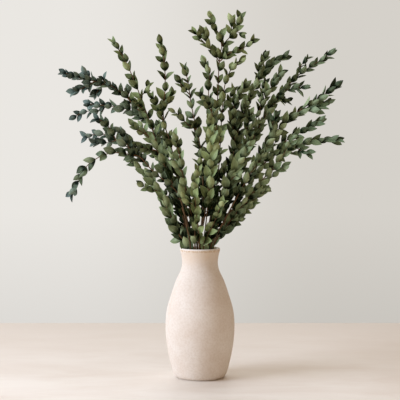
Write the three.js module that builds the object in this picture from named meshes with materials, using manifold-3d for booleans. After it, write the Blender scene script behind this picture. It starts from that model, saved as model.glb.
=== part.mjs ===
// Preserved small-leaved eucalyptus standing in a matt stoneware bottle vase.
// Millimetres, +Z up. The origin is the middle of the vase's foot, and the front of the
// arrangement looks towards -Y. Every stem runs from the floor of the vase through its neck
// and carries its branches and its leaves as one body, a spray.
import * as THREE from 'three';
import { mergeVertices } from 'three/addons/utils/BufferGeometryUtils.js';
import Module from 'manifold-3d';

const wasm = await Module();
wasm.setup();

// Vase: outer profile as [radius, height] from the foot's edge to the outside of the lip
const VASE_PROFILE = [
  [45.5, 1.5], [49, 10], [54.5, 30], [60.2, 60], [62.6, 92], [60.2, 122],
  [52.6, 149], [43.4, 176], [35, 194], [32.3, 207], [33.6, 221], [36.2, 231],
];
const VASE_HEIGHT = 235;
const VASE_WALL = 5.5;
const VASE_FLOOR = 8;
const VASE_SIDES = 30;
const OUTSIDE_STEPS = 12;
const INSIDE_STEPS = 6;
const FOOT_RADIUS = 43.5;
const LIP_OUTER = 35;
const LIP_INNER = 32;

// Stems inside the vase: [share of their place in the neck, height], from the cut end up
const STEM_FOOT = VASE_FLOOR + 0.4;
const STEM_SPREAD = [[0.75, STEM_FOOT], [0.84, 75], [0.92, 140], [1, 205], [1.1, 242]];

// Wood: square in section, tapering to the tip, in even straight pieces
const STEM = { rootRadius: 1.8, tipRadius: 0.9, piece: 50, fewest: 10 };
const BRANCH = { rootRadius: 1.2, tipRadius: 0.95, piece: 28, fewest: 2 };
const WOOD_SIDES = 4;

// Wood ends this far short of its route's end, which the last leaves reach
const TIP_REACH = 13;

// Rings of stems in the neck, by their radius
const OUTER = 23.6;
const MIDDLE = 14;
const INNER = 5.2;

// Leaves: opposite pairs up each shoot, smaller and closer to the wood towards its tip, and
// smaller on the blue sprays
const LEAF_TIP_LENGTH = 16;
const LEAF_LENGTH = 24;
const BLUE_LEAF_SHARE = 0.8;
const LEAF_FULL_SIZE_AT = 90;
const LEAF_WIDTH_SHARE = 0.56;
const LEAF_THICKNESS = 1.3;
const PAIR_STEP = 51;
const FIRST_LEAF_HEIGHT = 244;
const BRANCH_BARE = 14;
const TIP_PAIR = 1;

// How a leaf stands, in radians from the wood, and how far its size and stand vary
const LEAF_TIP_PITCH = 0.72;
const LEAF_PITCH = 1.0;
const SIZE_SPREAD = 0.16;
const PITCH_SPREAD = 0.2;
const TWIST_SPREAD = 0.5;

// Changes of pitch and of turn tried until a leaf hangs clear of its neighbours
const LEANINGS = [[0, 0], [-0.25, 0], [0.3, 0], [0, 0.45], [0, -0.45], [-0.2, 0.8], [-0.2, -0.8]];
const CLEARANCE = 0.5;
const OWN_LEAF_SPACING = 0.42;

// Blade: its outline by quarter of the length as [share of the length, share of the half
// width], its midrib, and how its edges and its tip rise, as shares of its length
const BLADE_OUTLINE = { 0: [0, 0], 1: [0.33, 0.98], 3: [0.73, 0.7], 4: [1, 0] };
const BLADE_MIDDLE = 0.42;
const BLADE_CUP = 0.045;
const BLADE_CURL = 0.06;
const ROOT_SINK = 0.35;

// Corners of a solid stay further apart than this, and a branch slips along its stem for it
const FINEST = 0.01;
const WELD = 1e-3;
const SLIPS = [0, 0.8, -0.8, 1.6, -1.6, 2.4, -2.4];

// Finishes of the foliage and of the vase
const GREEN = { color: 0x55664a, roughness: 0.78, metalness: 0 };
const OLIVE = { color: 0x6d7d58, roughness: 0.78, metalness: 0 };
const BLUE = { color: 0x4c6162, roughness: 0.74, metalness: 0 };
const STONEWARE = { color: 0xdcd0c0, roughness: 0.8, metalness: 0 };

// Each spray: its finish, its place in the neck as [ring, degrees from +X towards +Y], the
// route of its stem above the rim, and its branches, each from its fork to its tip
const SPRAYS = {
  upper_left: {
    finish: BLUE,
    seat: [OUTER, 158],
    route: [
      [-28, 14, 273], [-43, 17, 313], [-61, 22, 375], [-74, 28, 420], [-94, 34, 464],
      [-116, 38, 488], [-147, 38, 518], [-174, 34, 531], [-201, 28, 538], [-227, 24, 545],
      [-258, 20, 554],
    ],
    branches: [
      [[-188, 31, 535], [-205, 38, 547], [-220, 44, 560]],
      [[-172, 34, 530], [-175, 28, 540], [-182, 22, 552]],
      [[-192, 30, 536], [-207, 18, 525], [-223, 10, 518], [-238, 5, 508]],
      [[-176, 34, 531], [-186, 22, 516], [-198, 16, 502]],
      [[-130, 38, 502], [-131, 42, 519], [-135, 46, 531]],
      [[-96, 34, 466], [-116, 48, 478], [-143, 58, 488], [-171, 64, 492], [-219, 64, 497]],
      [[-169, 64, 492], [-188, 74, 484], [-215, 80, 481], [-244, 78, 466]],
    ],
  },
  left_tall: {
    finish: OLIVE,
    seat: [MIDDLE, 158],
    route: [
      [-24, -2, 271], [-37, 0, 312], [-53, 3, 361], [-75, 6, 415], [-93, 8, 469],
      [-114, 8, 525], [-135, 3, 573], [-160, -2, 613],
    ],
    branches: [
      [[-96, 8, 478], [-105, -8, 487], [-127, -26, 509]],
      [[-107, 8, 507], [-95, 14, 521], [-91, 18, 538]],
    ],
  },
  left_mid: {
    finish: BLUE,
    seat: [OUTER, 228],
    route: [
      [-22, -32, 270], [-40, -52, 337], [-81, -60, 374], [-104, -60, 399], [-125, -58, 416],
      [-148, -54, 430], [-168, -50, 440], [-189, -46, 439], [-213, -42, 433],
    ],
    branches: [
      [[-145, -54, 428], [-161, -46, 425], [-179, -40, 426], [-199, -36, 423]],
      [[-145, -54, 428], [-158, -60, 451], [-170, -66, 463], [-192, -70, 468]],
      [
        [-108, -60, 402], [-128, -72, 406], [-152, -80, 408], [-174, -84, 401],
        [-196, -86, 385], [-212, -86, 356], [-228, -84, 325],
      ],
    ],
  },
  left_low: {
    finish: GREEN,
    seat: [OUTER, 205],
    route: [
      [-39, -12, 261], [-53, -16, 295], [-72, -20, 333], [-94, -22, 367], [-113, -22, 385],
      [-136, -20, 398],
    ],
    branches: [[[-76, -20, 340], [-95, -30, 345], [-112, -38, 357]]],
  },
  left_inner: {
    finish: GREEN,
    seat: [MIDDLE, 210],
    route: [
      [-22, -14, 279], [-38, -20, 323], [-58, -24, 373], [-77, -24, 412], [-93, -22, 437],
      [-111, -18, 465],
    ],
    branches: [
      [[-93, -22, 436], [-111, -34, 449], [-126, -42, 467]],
      [[-77, -24, 412], [-106, -30, 417], [-123, -34, 426], [-141, -36, 437]],
    ],
  },
  left_under: {
    finish: GREEN,
    seat: [OUTER, 181],
    route: [[-33, 6, 252], [-43, 13, 275], [-56, 17, 302], [-73, 20, 331]],
    branches: [[[-40, 11, 268], [-49, 2, 283], [-57, -6, 301]]],
  },
  tall_left: {
    finish: OLIVE,
    seat: [INNER, 180],
    route: [
      [-15, -4, 277], [-28, -6, 322], [-42, -8, 372], [-53, -10, 424], [-65, -12, 465],
      [-62, -12, 529], [-65, -10, 581], [-72, -10, 615],
    ],
    branches: [
      [[-65, -12, 463], [-77, -22, 490], [-89, -30, 516]],
      [[-65, -12, 487], [-53, -2, 505], [-48, 4, 523]],
    ],
  },
  centre_left: {
    finish: GREEN,
    seat: [INNER, 270],
    route: [
      [3, -10, 282], [6, -16, 326], [4, -20, 376], [-1, -20, 426], [-10, -18, 465],
      [-17, -16, 501], [-22, -14, 536], [-31, -14, 568],
    ],
    branches: [
      [[-6, -19, 447], [-22, -30, 458], [-38, -38, 474], [-57, -44, 486]],
      [[-19, -16, 508], [-31, -24, 524], [-42, -30, 545]],
    ],
  },
  tall_centre: {
    finish: OLIVE,
    seat: [INNER, 20],
    route: [
      [17, 6, 281], [23, 10, 330], [26, 14, 384], [30, 16, 447], [33, 14, 537],
      [35, 12, 570], [40, 12, 598], [57, 14, 618], [69, 16, 638], [75, 18, 661],
    ],
    branches: [
      [[40, 12, 597], [35, 6, 618], [24, 2, 635], [15, 0, 662]],
      [[34, 12, 568], [19, 4, 592], [1, -2, 610], [-17, -6, 629]],
      [[12, 1, 601], [8, 8, 616], [4, 12, 634]],
      [[34, 12, 570], [53, 2, 585], [78, -6, 594], [102, -12, 613]],
      [[53, 14, 615], [57, 24, 633], [55, 30, 657]],
      [[62, 15, 625], [74, 6, 621], [85, 0, 621]],
    ],
  },
  centre_mid: {
    finish: GREEN,
    seat: [MIDDLE, 253],
    route: [
      [6, -28, 280], [12, -36, 327], [17, -40, 380], [22, -42, 430], [22, -42, 472],
      [15, -40, 509], [17, -38, 542], [3, -36, 578],
    ],
    branches: [[[20, -42, 479], [6, -54, 503], [-4, -60, 521]]],
  },
  centre_right: {
    finish: OLIVE,
    seat: [MIDDLE, 62],
    route: [
      [19, 30, 274], [27, 38, 319], [34, 44, 374], [38, 48, 438], [41, 50, 491],
      [47, 50, 535], [61, 48, 564], [85, 46, 581],
    ],
    branches: [[[39, 50, 480], [56, 58, 506], [64, 64, 532]]],
  },
  right_tall: {
    finish: GREEN,
    seat: [MIDDLE, 18],
    route: [
      [30, 12, 277], [45, 20, 328], [57, 28, 384], [70, 34, 447], [83, 36, 491],
      [103, 36, 531], [128, 34, 564], [162, 30, 585],
    ],
    branches: [[[63, 32, 418], [59, 20, 465], [66, 12, 505], [87, 6, 535]]],
  },
  right_upper: {
    finish: GREEN,
    seat: [MIDDLE, 335],
    route: [
      [31, -10, 275], [49, -14, 329], [69, -14, 387], [90, -12, 444], [108, -10, 487],
      [126, -8, 522], [151, -6, 560],
    ],
    branches: [[[83, -12, 426], [84, -24, 458], [91, -34, 486]]],
  },
  right_long: {
    finish: GREEN,
    seat: [OUTER, 61],
    route: [
      [34, 24, 280], [60, 44, 334], [80, 56, 385], [103, 64, 440], [130, 68, 488],
      [156, 70, 521], [186, 68, 552], [215, 66, 571], [247, 62, 594],
    ],
    branches: [
      [[154, 70, 519], [178, 60, 525], [201, 54, 526]],
      [[143, 69, 505], [159, 82, 501], [174, 88, 499]],
    ],
  },
  right_spread: {
    finish: GREEN,
    seat: [OUTER, 322],
    route: [
      [35, -26, 271], [61, -36, 320], [89, -44, 372], [115, -48, 419], [143, -48, 454],
      [177, -46, 483], [212, -42, 505], [246, -38, 530],
    ],
    branches: [
      [[177, -46, 483], [199, -56, 484], [219, -62, 489]],
      [[124, -48, 432], [127, -58, 458], [133, -64, 479]],
    ],
  },
  right_mid: {
    finish: GREEN,
    seat: [OUTER, 12],
    route: [
      [41, 6, 274], [70, 12, 321], [99, 16, 364], [128, 18, 399], [157, 18, 429],
      [189, 18, 447], [225, 18, 471],
    ],
    branches: [[[131, 18, 402], [161, 28, 406], [184, 36, 405]]],
  },
  right_low: {
    finish: GREEN,
    seat: [OUTER, 346],
    route: [
      [40, -16, 265], [69, -28, 305], [97, -36, 341], [125, -42, 377], [152, -46, 407],
      [184, -48, 425], [217, -50, 430], [252, -52, 430],
    ],
    branches: [
      [[166, -47, 416], [183, -54, 409], [201, -58, 405]],
      [[125, -42, 377], [142, -52, 381], [155, -58, 390]],
    ],
  },
  right_under: {
    finish: GREEN,
    seat: [OUTER, 37],
    route: [[37, 17, 258], [63, 26, 285], [85, 31, 316], [111, 34, 345], [145, 36, 372]],
    branches: [
      [[67, 27, 289], [86, 18, 304], [106, 14, 322]],
      [[50, 21, 270], [66, 12, 281], [84, 6, 288]],
      [[107, 34, 341], [119, 44, 339], [132, 50, 341]],
    ],
  },
  front_left: {
    finish: GREEN,
    seat: [OUTER, 249],
    route: [[-10, -40, 274], [-20, -54, 318], [-29, -65, 364], [-37, -72, 410], [-47, -75, 451]],
    branches: [[[-30, -66, 372], [-48, -65, 399], [-62, -63, 416]]],
  },
  front_centre: {
    finish: OLIVE,
    seat: [MIDDLE, 292],
    route: [[10, -42, 278], [15, -57, 333], [18, -68, 382], [18, -74, 430], [16, -75, 478]],
    branches: [[[18, -71, 398], [34, -73, 427], [39, -73, 451]]],
  },
  front_right: {
    finish: GREEN,
    seat: [OUTER, 303],
    route: [[22, -42, 273], [38, -58, 319], [54, -70, 365], [73, -76, 400], [91, -79, 430]],
    branches: [[[51, -68, 358], [63, -77, 369], [76, -83, 376]]],
  },
  front_low: {
    finish: OLIVE,
    seat: [OUTER, 267],
    route: [[-2, -43, 264], [-6, -65, 300], [-9, -83, 332], [-6, -96, 365], [1, -105, 401]],
    branches: [[[-8, -73, 314], [-23, -77, 324], [-33, -79, 341]]],
  },
  front_drop: {
    finish: OLIVE,
    seat: [OUTER, 285],
    route: [[13, -44, 261], [25, -65, 286], [33, -83, 308], [45, -96, 333]],
    branches: [],
  },
  back_left: {
    finish: GREEN,
    seat: [OUTER, 134],
    route: [[-21, 38, 273], [-36, 70, 321], [-55, 96, 376], [-69, 112, 425], [-82, 120, 470]],
    branches: [[[-51, 92, 366], [-74, 92, 387], [-93, 90, 410]]],
  },
  back_centre: {
    finish: GREEN,
    seat: [MIDDLE, 105],
    route: [[5, 42, 278], [10, 78, 326], [18, 104, 381], [24, 118, 438], [27, 124, 496]],
    branches: [[[20, 107, 391], [-3, 112, 417], [-10, 114, 447]]],
  },
  back_right: {
    finish: GREEN,
    seat: [OUTER, 85],
    route: [[23, 42, 275], [44, 74, 325], [67, 100, 376], [92, 116, 425], [118, 122, 470]],
    branches: [[[63, 97, 368], [72, 94, 410], [79, 90, 444]]],
  },
  back_low: {
    finish: GREEN,
    seat: [OUTER, 110],
    route: [[-7, 46, 263], [-4, 92, 298], [1, 128, 333], [1, 156, 370]],
    branches: [
      [[-1, 112, 316], [-20, 122, 330], [-35, 128, 352]],
      [[0, 118, 322], [20, 124, 333], [35, 130, 356]],
    ],
  },
};

// Seeded generator of numbers from 0 to 1
function draws(seed) {
  let state = seed;
  return () => {
    state = (state + 0x6d2b79f5) | 0;
    let mixed = Math.imul(state ^ (state >>> 15), 1 | state);
    mixed = (mixed + Math.imul(mixed ^ (mixed >>> 7), 61 | mixed)) ^ mixed;
    return ((mixed ^ (mixed >>> 14)) >>> 0) / 4294967296;
  };
}

// Closed solid from a geometry
function solid(geometry) {
  geometry.deleteAttribute('normal');
  geometry.deleteAttribute('uv');
  const merged = mergeVertices(geometry, WELD);
  const index = merged.index.array;
  const triVerts = [];
  for (let i = 0; i < index.length; i += 3) {
    const [a, b, c] = index.subarray(i, i + 3);
    if (a !== b && b !== c && c !== a) {
      triVerts.push(a, b, c);
    }
  }
  return new wasm.Manifold(new wasm.Mesh({
    numProp: 3,
    vertProperties: merged.attributes.position.array,
    triVerts: new Uint32Array(triVerts),
  }));
}

// Named mesh of a solid in its finish
function namedMesh(name, body, finish) {
  const { vertProperties, triVerts } = body.getMesh();
  const geometry = new THREE.BufferGeometry();
  geometry.setAttribute('position', new THREE.BufferAttribute(vertProperties, 3));
  geometry.setIndex(new THREE.BufferAttribute(triVerts, 1));
  geometry.computeVertexNormals();
  const mesh = new THREE.Mesh(geometry, new THREE.MeshStandardMaterial(finish));
  mesh.name = name;
  return mesh;
}

// Vase: outside up to the rounded lip, then down the inside to the floor
function vase() {
  const side = new THREE.SplineCurve(VASE_PROFILE.map(([r, z]) => new THREE.Vector2(r, z)));
  const outside = side.getPoints(OUTSIDE_STEPS);
  const inside = side.getPoints(INSIDE_STEPS)
    .map(({ x, y }) => new THREE.Vector2(x - VASE_WALL, y))
    .filter(({ y }) => y > VASE_FLOOR + VASE_WALL)
    .reverse();
  const profile = [
    new THREE.Vector2(0, 0),
    new THREE.Vector2(FOOT_RADIUS, 0),
    ...outside,
    new THREE.Vector2(LIP_OUTER, VASE_HEIGHT),
    new THREE.Vector2(LIP_INNER, VASE_HEIGHT),
    ...inside,
    new THREE.Vector2(FOOT_RADIUS - VASE_WALL, VASE_FLOOR),
    new THREE.Vector2(0, VASE_FLOOR),
  ];
  const turned = new THREE.LatheGeometry(profile, VASE_SIDES);
  turned.rotateX(Math.PI / 2);
  return solid(turned);
}

// Shoot along a route, in even straight pieces, with the frame of its section at each joint
function shootAlong(route, { rootRadius, tipRadius, piece, fewest }) {
  const whole = new THREE.CatmullRomCurve3(route);
  const marks = whole.getSpacedPoints(Math.round(whole.getLength() / TIP_REACH));
  const curve = new THREE.CatmullRomCurve3(marks.slice(0, -1));
  const steps = Math.max(fewest, Math.round(curve.getLength() / piece));
  return {
    curve,
    steps,
    rootRadius,
    tipRadius,
    points: curve.getSpacedPoints(steps),
    frames: curve.computeFrenetFrames(steps, false),
  };
}

// Place on a shoot at a share of its length: point, direction, section frame and face depth
function placeOn({ steps, rootRadius, tipRadius, points, frames }, share) {
  const first = Math.min(steps - 1, Math.floor(share * steps));
  const part = share * steps - first;
  const radius = THREE.MathUtils.lerp(rootRadius, tipRadius, share);
  return {
    point: points[first].clone().lerp(points[first + 1], part),
    along: points[first + 1].clone().sub(points[first]).normalize(),
    normal: frames.normals[first].clone().lerp(frames.normals[first + 1], part),
    binormal: frames.binormals[first].clone().lerp(frames.binormals[first + 1], part),
    depth: radius * Math.cos(Math.PI / WOOD_SIDES),
  };
}

// Nearest place to a point on the straight pieces of some shoots
function nearestOn(shoots, target) {
  const pieces = shoots.flatMap(({ points }) => (
    points.slice(1).map((end, i) => new THREE.Line3(points[i], end))
  ));
  const places = pieces.map((piece) => {
    const point = piece.closestPointToPoint(target, true, new THREE.Vector3());
    const along = piece.delta(new THREE.Vector3()).normalize();
    return { point, along, distance: point.distanceTo(target) };
  });
  return places.reduce((best, next) => (next.distance < best.distance ? next : best));
}

// Tapered wood along a line: a regular section swept along it, then drawn in to its thickness
function wood({ curve, steps, rootRadius, tipRadius, points }) {
  const corners = Array.from({ length: WOOD_SIDES }, (_, i) => {
    const angle = (i * 2 * Math.PI) / WOOD_SIDES;
    return new THREE.Vector2(rootRadius * Math.cos(angle), rootRadius * Math.sin(angle));
  });
  const swept = new THREE.ExtrudeGeometry(new THREE.Shape(corners), {
    steps,
    bevelEnabled: false,
    extrudePath: curve,
  });
  const vertices = swept.attributes.position;
  const vertex = new THREE.Vector3();
  for (let i = 0; i < vertices.count; i += 1) {
    vertex.fromBufferAttribute(vertices, i);
    const gaps = points.map((point) => point.distanceTo(vertex));
    const station = gaps.indexOf(Math.min(...gaps));
    const share = THREE.MathUtils.lerp(1, tipRadius / rootRadius, station / steps);
    vertex.sub(points[station]).multiplyScalar(share).add(points[station]);
    vertices.setXYZ(i, vertex.x, vertex.y, vertex.z);
  }
  return solid(swept);
}

// Whether joining left two corners nearer each other than the finest detail
function hasSliver(body) {
  const { vertProperties } = body.getMesh();
  return [0, 0.5].some((offset) => {
    const cells = new Set();
    for (let i = 0; i < vertProperties.length; i += 3) {
      const corner = Array.from(vertProperties.subarray(i, i + 3));
      cells.add(corner.map((v) => Math.round(v / FINEST + offset)).join());
    }
    return cells.size < vertProperties.length / 3;
  });
}

// Stem and branches of a spray: their shoots, their solids, and the solids joined
function grow({ seat: [ring, degrees], route, branches }) {
  const angle = THREE.MathUtils.degToRad(degrees);
  const inNeck = new THREE.Vector2(ring * Math.cos(angle), ring * Math.sin(angle));
  const passing = STEM_SPREAD.map(([share, z]) => (
    new THREE.Vector3(inNeck.x * share, inNeck.y * share, z)
  ));
  const above = route.map((point) => new THREE.Vector3(...point));
  const stem = shootAlong([...passing, ...above], STEM);
  const solidStem = wood(stem);
  const grown = { shoots: [stem], solids: [solidStem], body: solidStem };
  for (const branch of branches) {
    const [fork, ...rest] = branch.map((point) => new THREE.Vector3(...point));
    const { point, along } = nearestOn(grown.shoots, fork);
    SLIPS.some((slip) => {
      const root = point.clone().addScaledVector(along, slip);
      const shoot = shootAlong([root, ...rest], BRANCH);
      const solidShoot = wood(shoot);
      const joined = grown.body.add(solidShoot);
      const clean = !hasSliver(joined);
      if (clean) {
        grown.shoots.push(shoot);
        grown.solids.push(solidShoot);
        grown.body = joined;
      }
      return clean;
    });
  }
  return grown;
}

// Blade: a flat six-sided cone whose rim is moved on to the outline of a cupped ovate leaf
function blade({ root, direction, upper, length, width, thickness }) {
  const across = upper.clone().cross(direction);
  const cone = new THREE.ConeGeometry(1, 1, 6, 1);
  const vertices = cone.attributes.position;
  for (let i = 0; i < vertices.count; i += 1) {
    const onKeel = Math.hypot(vertices.getX(i), vertices.getZ(i)) < 0.5;
    const quarter = Math.round(2 * (vertices.getZ(i) + 1));
    const [share, spread] = onKeel ? [BLADE_MIDDLE, 0] : BLADE_OUTLINE[quarter];
    const cup = BLADE_CUP * length * spread;
    const curl = BLADE_CURL * length * share * share;
    const lift = onKeel ? thickness * Math.sign(vertices.getY(i)) / 2 : cup + curl;
    const place = root.clone()
      .addScaledVector(direction, share * length)
      .addScaledVector(across, spread * Math.sign(vertices.getX(i)) * width / 2)
      .addScaledVector(upper, lift);
    vertices.setXYZ(i, place.x, place.y, place.z);
  }
  return solid(cone);
}

// Leaf beside a shoot: its turn round it, its pitch from it and its own twist, in radians
function leafFrame({ point, along, normal, binormal, depth }, turn, pitch, twist) {
  const outward = normal.clone().multiplyScalar(Math.cos(turn));
  outward.addScaledVector(binormal, Math.sin(turn));
  outward.addScaledVector(along, -outward.dot(along)).normalize();
  const root = point.clone().addScaledVector(outward, depth - ROOT_SINK);
  const direction = along.clone().multiplyScalar(Math.cos(pitch));
  direction.addScaledVector(outward, Math.sin(pitch)).normalize();
  const upper = along.clone().multiplyScalar(Math.sin(pitch));
  upper.addScaledVector(outward, -Math.cos(pitch)).normalize().applyAxisAngle(direction, twist);
  return { root, direction, upper };
}

// Box round a solid
function boxOf(body) {
  const { min, max } = body.boundingBox();
  return new THREE.Box3(new THREE.Vector3(...min), new THREE.Vector3(...max));
}

const vaseBody = vase();
const obstacles = [{ node: 'vase', body: vaseBody, box: boxOf(vaseBody) }];
const sprays = Object.entries(SPRAYS).map(([name, spec]) => {
  const { shoots, solids, body } = grow(spec);
  solids.forEach((part) => obstacles.push({ node: name, body: part, box: boxOf(part) }));
  const leafShare = spec.finish === BLUE ? BLUE_LEAF_SHARE : 1;
  return { name, finish: spec.finish, leafShare, shoots, body, middles: [] };
});

// Adds a leaf where it is clear of every other spray and of its own neighbours, and joins
// its stem without slivers
function addLeaf(spray, frame, length) {
  const width = LEAF_WIDTH_SHARE * length;
  const middle = frame.root.clone().addScaledVector(frame.direction, length / 2);
  if (spray.middles.some((other) => other.distanceTo(middle) < OWN_LEAF_SPACING * length)) {
    return false;
  }
  const probe = blade({
    ...frame,
    length: length + CLEARANCE,
    width: width + 2 * CLEARANCE,
    thickness: LEAF_THICKNESS + 2 * CLEARANCE,
  });
  const reach = boxOf(probe);
  const blocked = obstacles.some(({ node, body, box }) => (
    node !== spray.name && box.intersectsBox(reach) && !probe.intersect(body).isEmpty()
  ));
  if (blocked) {
    return false;
  }
  const body = blade({ ...frame, length, width, thickness: LEAF_THICKNESS });
  const joined = spray.body.add(body);
  if (hasSliver(joined)) {
    return false;
  }
  spray.body = joined;
  spray.middles.push(middle);
  obstacles.push({ node: spray.name, body, box: boxOf(body) });
  return true;
}

// Leaves of one shoot, in pairs from its tip down to where it is bare, each pair on two
// opposite faces of the wood and a quarter turned from the last one
function dressShoot(spray, shoot, isStem, draw) {
  const length = shoot.curve.getLength();
  let face = Math.PI / WOOD_SIDES;
  for (let back = TIP_PAIR; back < length; back += PAIR_STEP) {
    const place = placeOn(shoot, 1 - back / length);
    const bare = isStem ? place.point.z < FIRST_LEAF_HEIGHT : length - back < BRANCH_BARE;
    if (bare) {
      break;
    }
    const age = Math.min(1, back / LEAF_FULL_SIZE_AT);
    const size = spray.leafShare * THREE.MathUtils.lerp(LEAF_TIP_LENGTH, LEAF_LENGTH, age);
    const pitch = THREE.MathUtils.lerp(LEAF_TIP_PITCH, LEAF_PITCH, Math.min(1, back / PAIR_STEP));
    for (const turn of [face, face + Math.PI]) {
      const leafLength = size * (1 + SIZE_SPREAD * (draw() - 0.5));
      const lean = pitch + PITCH_SPREAD * (draw() - 0.5);
      const twist = TWIST_SPREAD * (draw() - 0.5);
      LEANINGS.some(([more, round]) => (
        addLeaf(spray, leafFrame(place, turn + round, lean + more, twist), leafLength)
      ));
    }
    face += Math.PI / 2;
  }
}

sprays.forEach((spray, number) => {
  const draw = draws(number + 1);
  spray.shoots.forEach((shoot, i) => dressShoot(spray, shoot, i === 0, draw));
});

const group = new THREE.Group();
group.add(namedMesh('vase', vaseBody, STONEWARE));
for (const { name, body, finish } of sprays) {
  group.add(namedMesh(`spray_${name}`, body, finish));
}

export default group;
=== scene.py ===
"""Preserved small-leaved eucalyptus standing in a matt stoneware bottle vase.

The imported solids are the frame: +Z up, the middle of the vase's foot at the origin, and the
front of the arrangement towards -Y. Each spray is grown again along the route of its solid,
with round tapering wood and about four times as many leaves, and stands for that solid. The
vase is turned again on a finer curve. Shapes are built in millimetres and turned into metres
at the end.
"""

import logging
import math
import random
from dataclasses import dataclass, field, replace
from enum import Enum
from typing import Iterator, Sequence

import bmesh
import bpy
from mathutils import Euler, Matrix, Vector
from mathutils.geometry import interpolate_bezier
from mathutils.kdtree import KDTree


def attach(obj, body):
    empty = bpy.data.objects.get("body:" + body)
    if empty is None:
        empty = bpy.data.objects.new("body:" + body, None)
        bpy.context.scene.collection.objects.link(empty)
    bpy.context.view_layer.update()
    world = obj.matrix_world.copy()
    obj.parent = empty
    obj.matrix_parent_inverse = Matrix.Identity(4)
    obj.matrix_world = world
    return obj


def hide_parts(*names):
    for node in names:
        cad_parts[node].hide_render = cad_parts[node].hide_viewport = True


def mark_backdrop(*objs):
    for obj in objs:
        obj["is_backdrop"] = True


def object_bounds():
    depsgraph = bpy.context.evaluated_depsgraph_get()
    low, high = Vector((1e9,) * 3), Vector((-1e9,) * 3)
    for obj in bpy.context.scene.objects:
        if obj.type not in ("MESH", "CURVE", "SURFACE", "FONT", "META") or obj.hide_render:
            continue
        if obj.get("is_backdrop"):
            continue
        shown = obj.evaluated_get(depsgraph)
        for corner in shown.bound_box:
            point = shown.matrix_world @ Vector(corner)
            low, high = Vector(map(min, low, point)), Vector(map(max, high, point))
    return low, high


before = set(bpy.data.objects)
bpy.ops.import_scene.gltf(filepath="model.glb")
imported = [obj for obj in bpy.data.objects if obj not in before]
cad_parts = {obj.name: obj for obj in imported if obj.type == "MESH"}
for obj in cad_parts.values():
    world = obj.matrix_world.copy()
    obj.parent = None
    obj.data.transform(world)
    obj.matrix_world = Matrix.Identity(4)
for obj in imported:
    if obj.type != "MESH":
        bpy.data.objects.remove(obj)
CAD_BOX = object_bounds()

LOG = logging.getLogger("eucalyptus")
BODY = "root"
MM = 0.001

# Sockets of the Mix node when it mixes colours
MIX_A, MIX_B, MIX_OUT = 6, 7, 2

Pair = tuple[float, float]
Point = tuple[float, float, float]


def linear(code: str) -> tuple[float, float, float, float]:
    """Turns an sRGB hex colour such as "#dcd0c0" into linear light with full alpha."""
    channels = (int(code[i : i + 2], 16) / 255 for i in (1, 3, 5))
    light = (c / 12.92 if c <= 0.04045 else ((c + 0.055) / 1.055) ** 2.4 for c in channels)
    return (*light, 1.0)


def lerp(a: float, b: float, share: float) -> float:
    """Goes from a to b by a share."""
    return a + (b - a) * share


def clamp(value: float) -> float:
    """Keeps a value between 0 and 1."""
    return max(0.0, min(1.0, value))


def add_node(
    tree: bpy.types.NodeTree,
    kind: str,
    inputs: dict[str | int, object] | None = None,
    **settings: object,
) -> bpy.types.Node:
    """Adds one node to a shader.

    Args:
        tree: Node tree that takes the node.
        kind: The node's type.
        inputs: What each input takes, by its name or number: a value, or another output.
        **settings: The node's own settings.

    Returns:
        The new node.
    """
    node = tree.nodes.new(kind)
    for name, value in settings.items():
        setattr(node, name, value)
    for key, value in (inputs or {}).items():
        if isinstance(value, bpy.types.NodeSocket):
            tree.links.new(value, node.inputs[key])
        else:
            node.inputs[key].default_value = value
    return node


def per_metre(size: float) -> float:
    """Gives a texture's scale for a pattern of this size in millimetres."""
    return 1 / (size * MM)


def new_material(name: str) -> tuple[bpy.types.Material, bpy.types.NodeTree]:
    """Makes a material with an empty node tree."""
    material = bpy.data.materials.new(name)
    material.use_nodes = True
    material.node_tree.nodes.clear()
    return material, material.node_tree


@dataclass(frozen=True)
class Noise:
    """Cloudy noise: size of its clouds in millimetres, finer layers, and how rough they are."""

    size: float
    detail: float = 3.0
    roughness: float = 0.5


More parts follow.
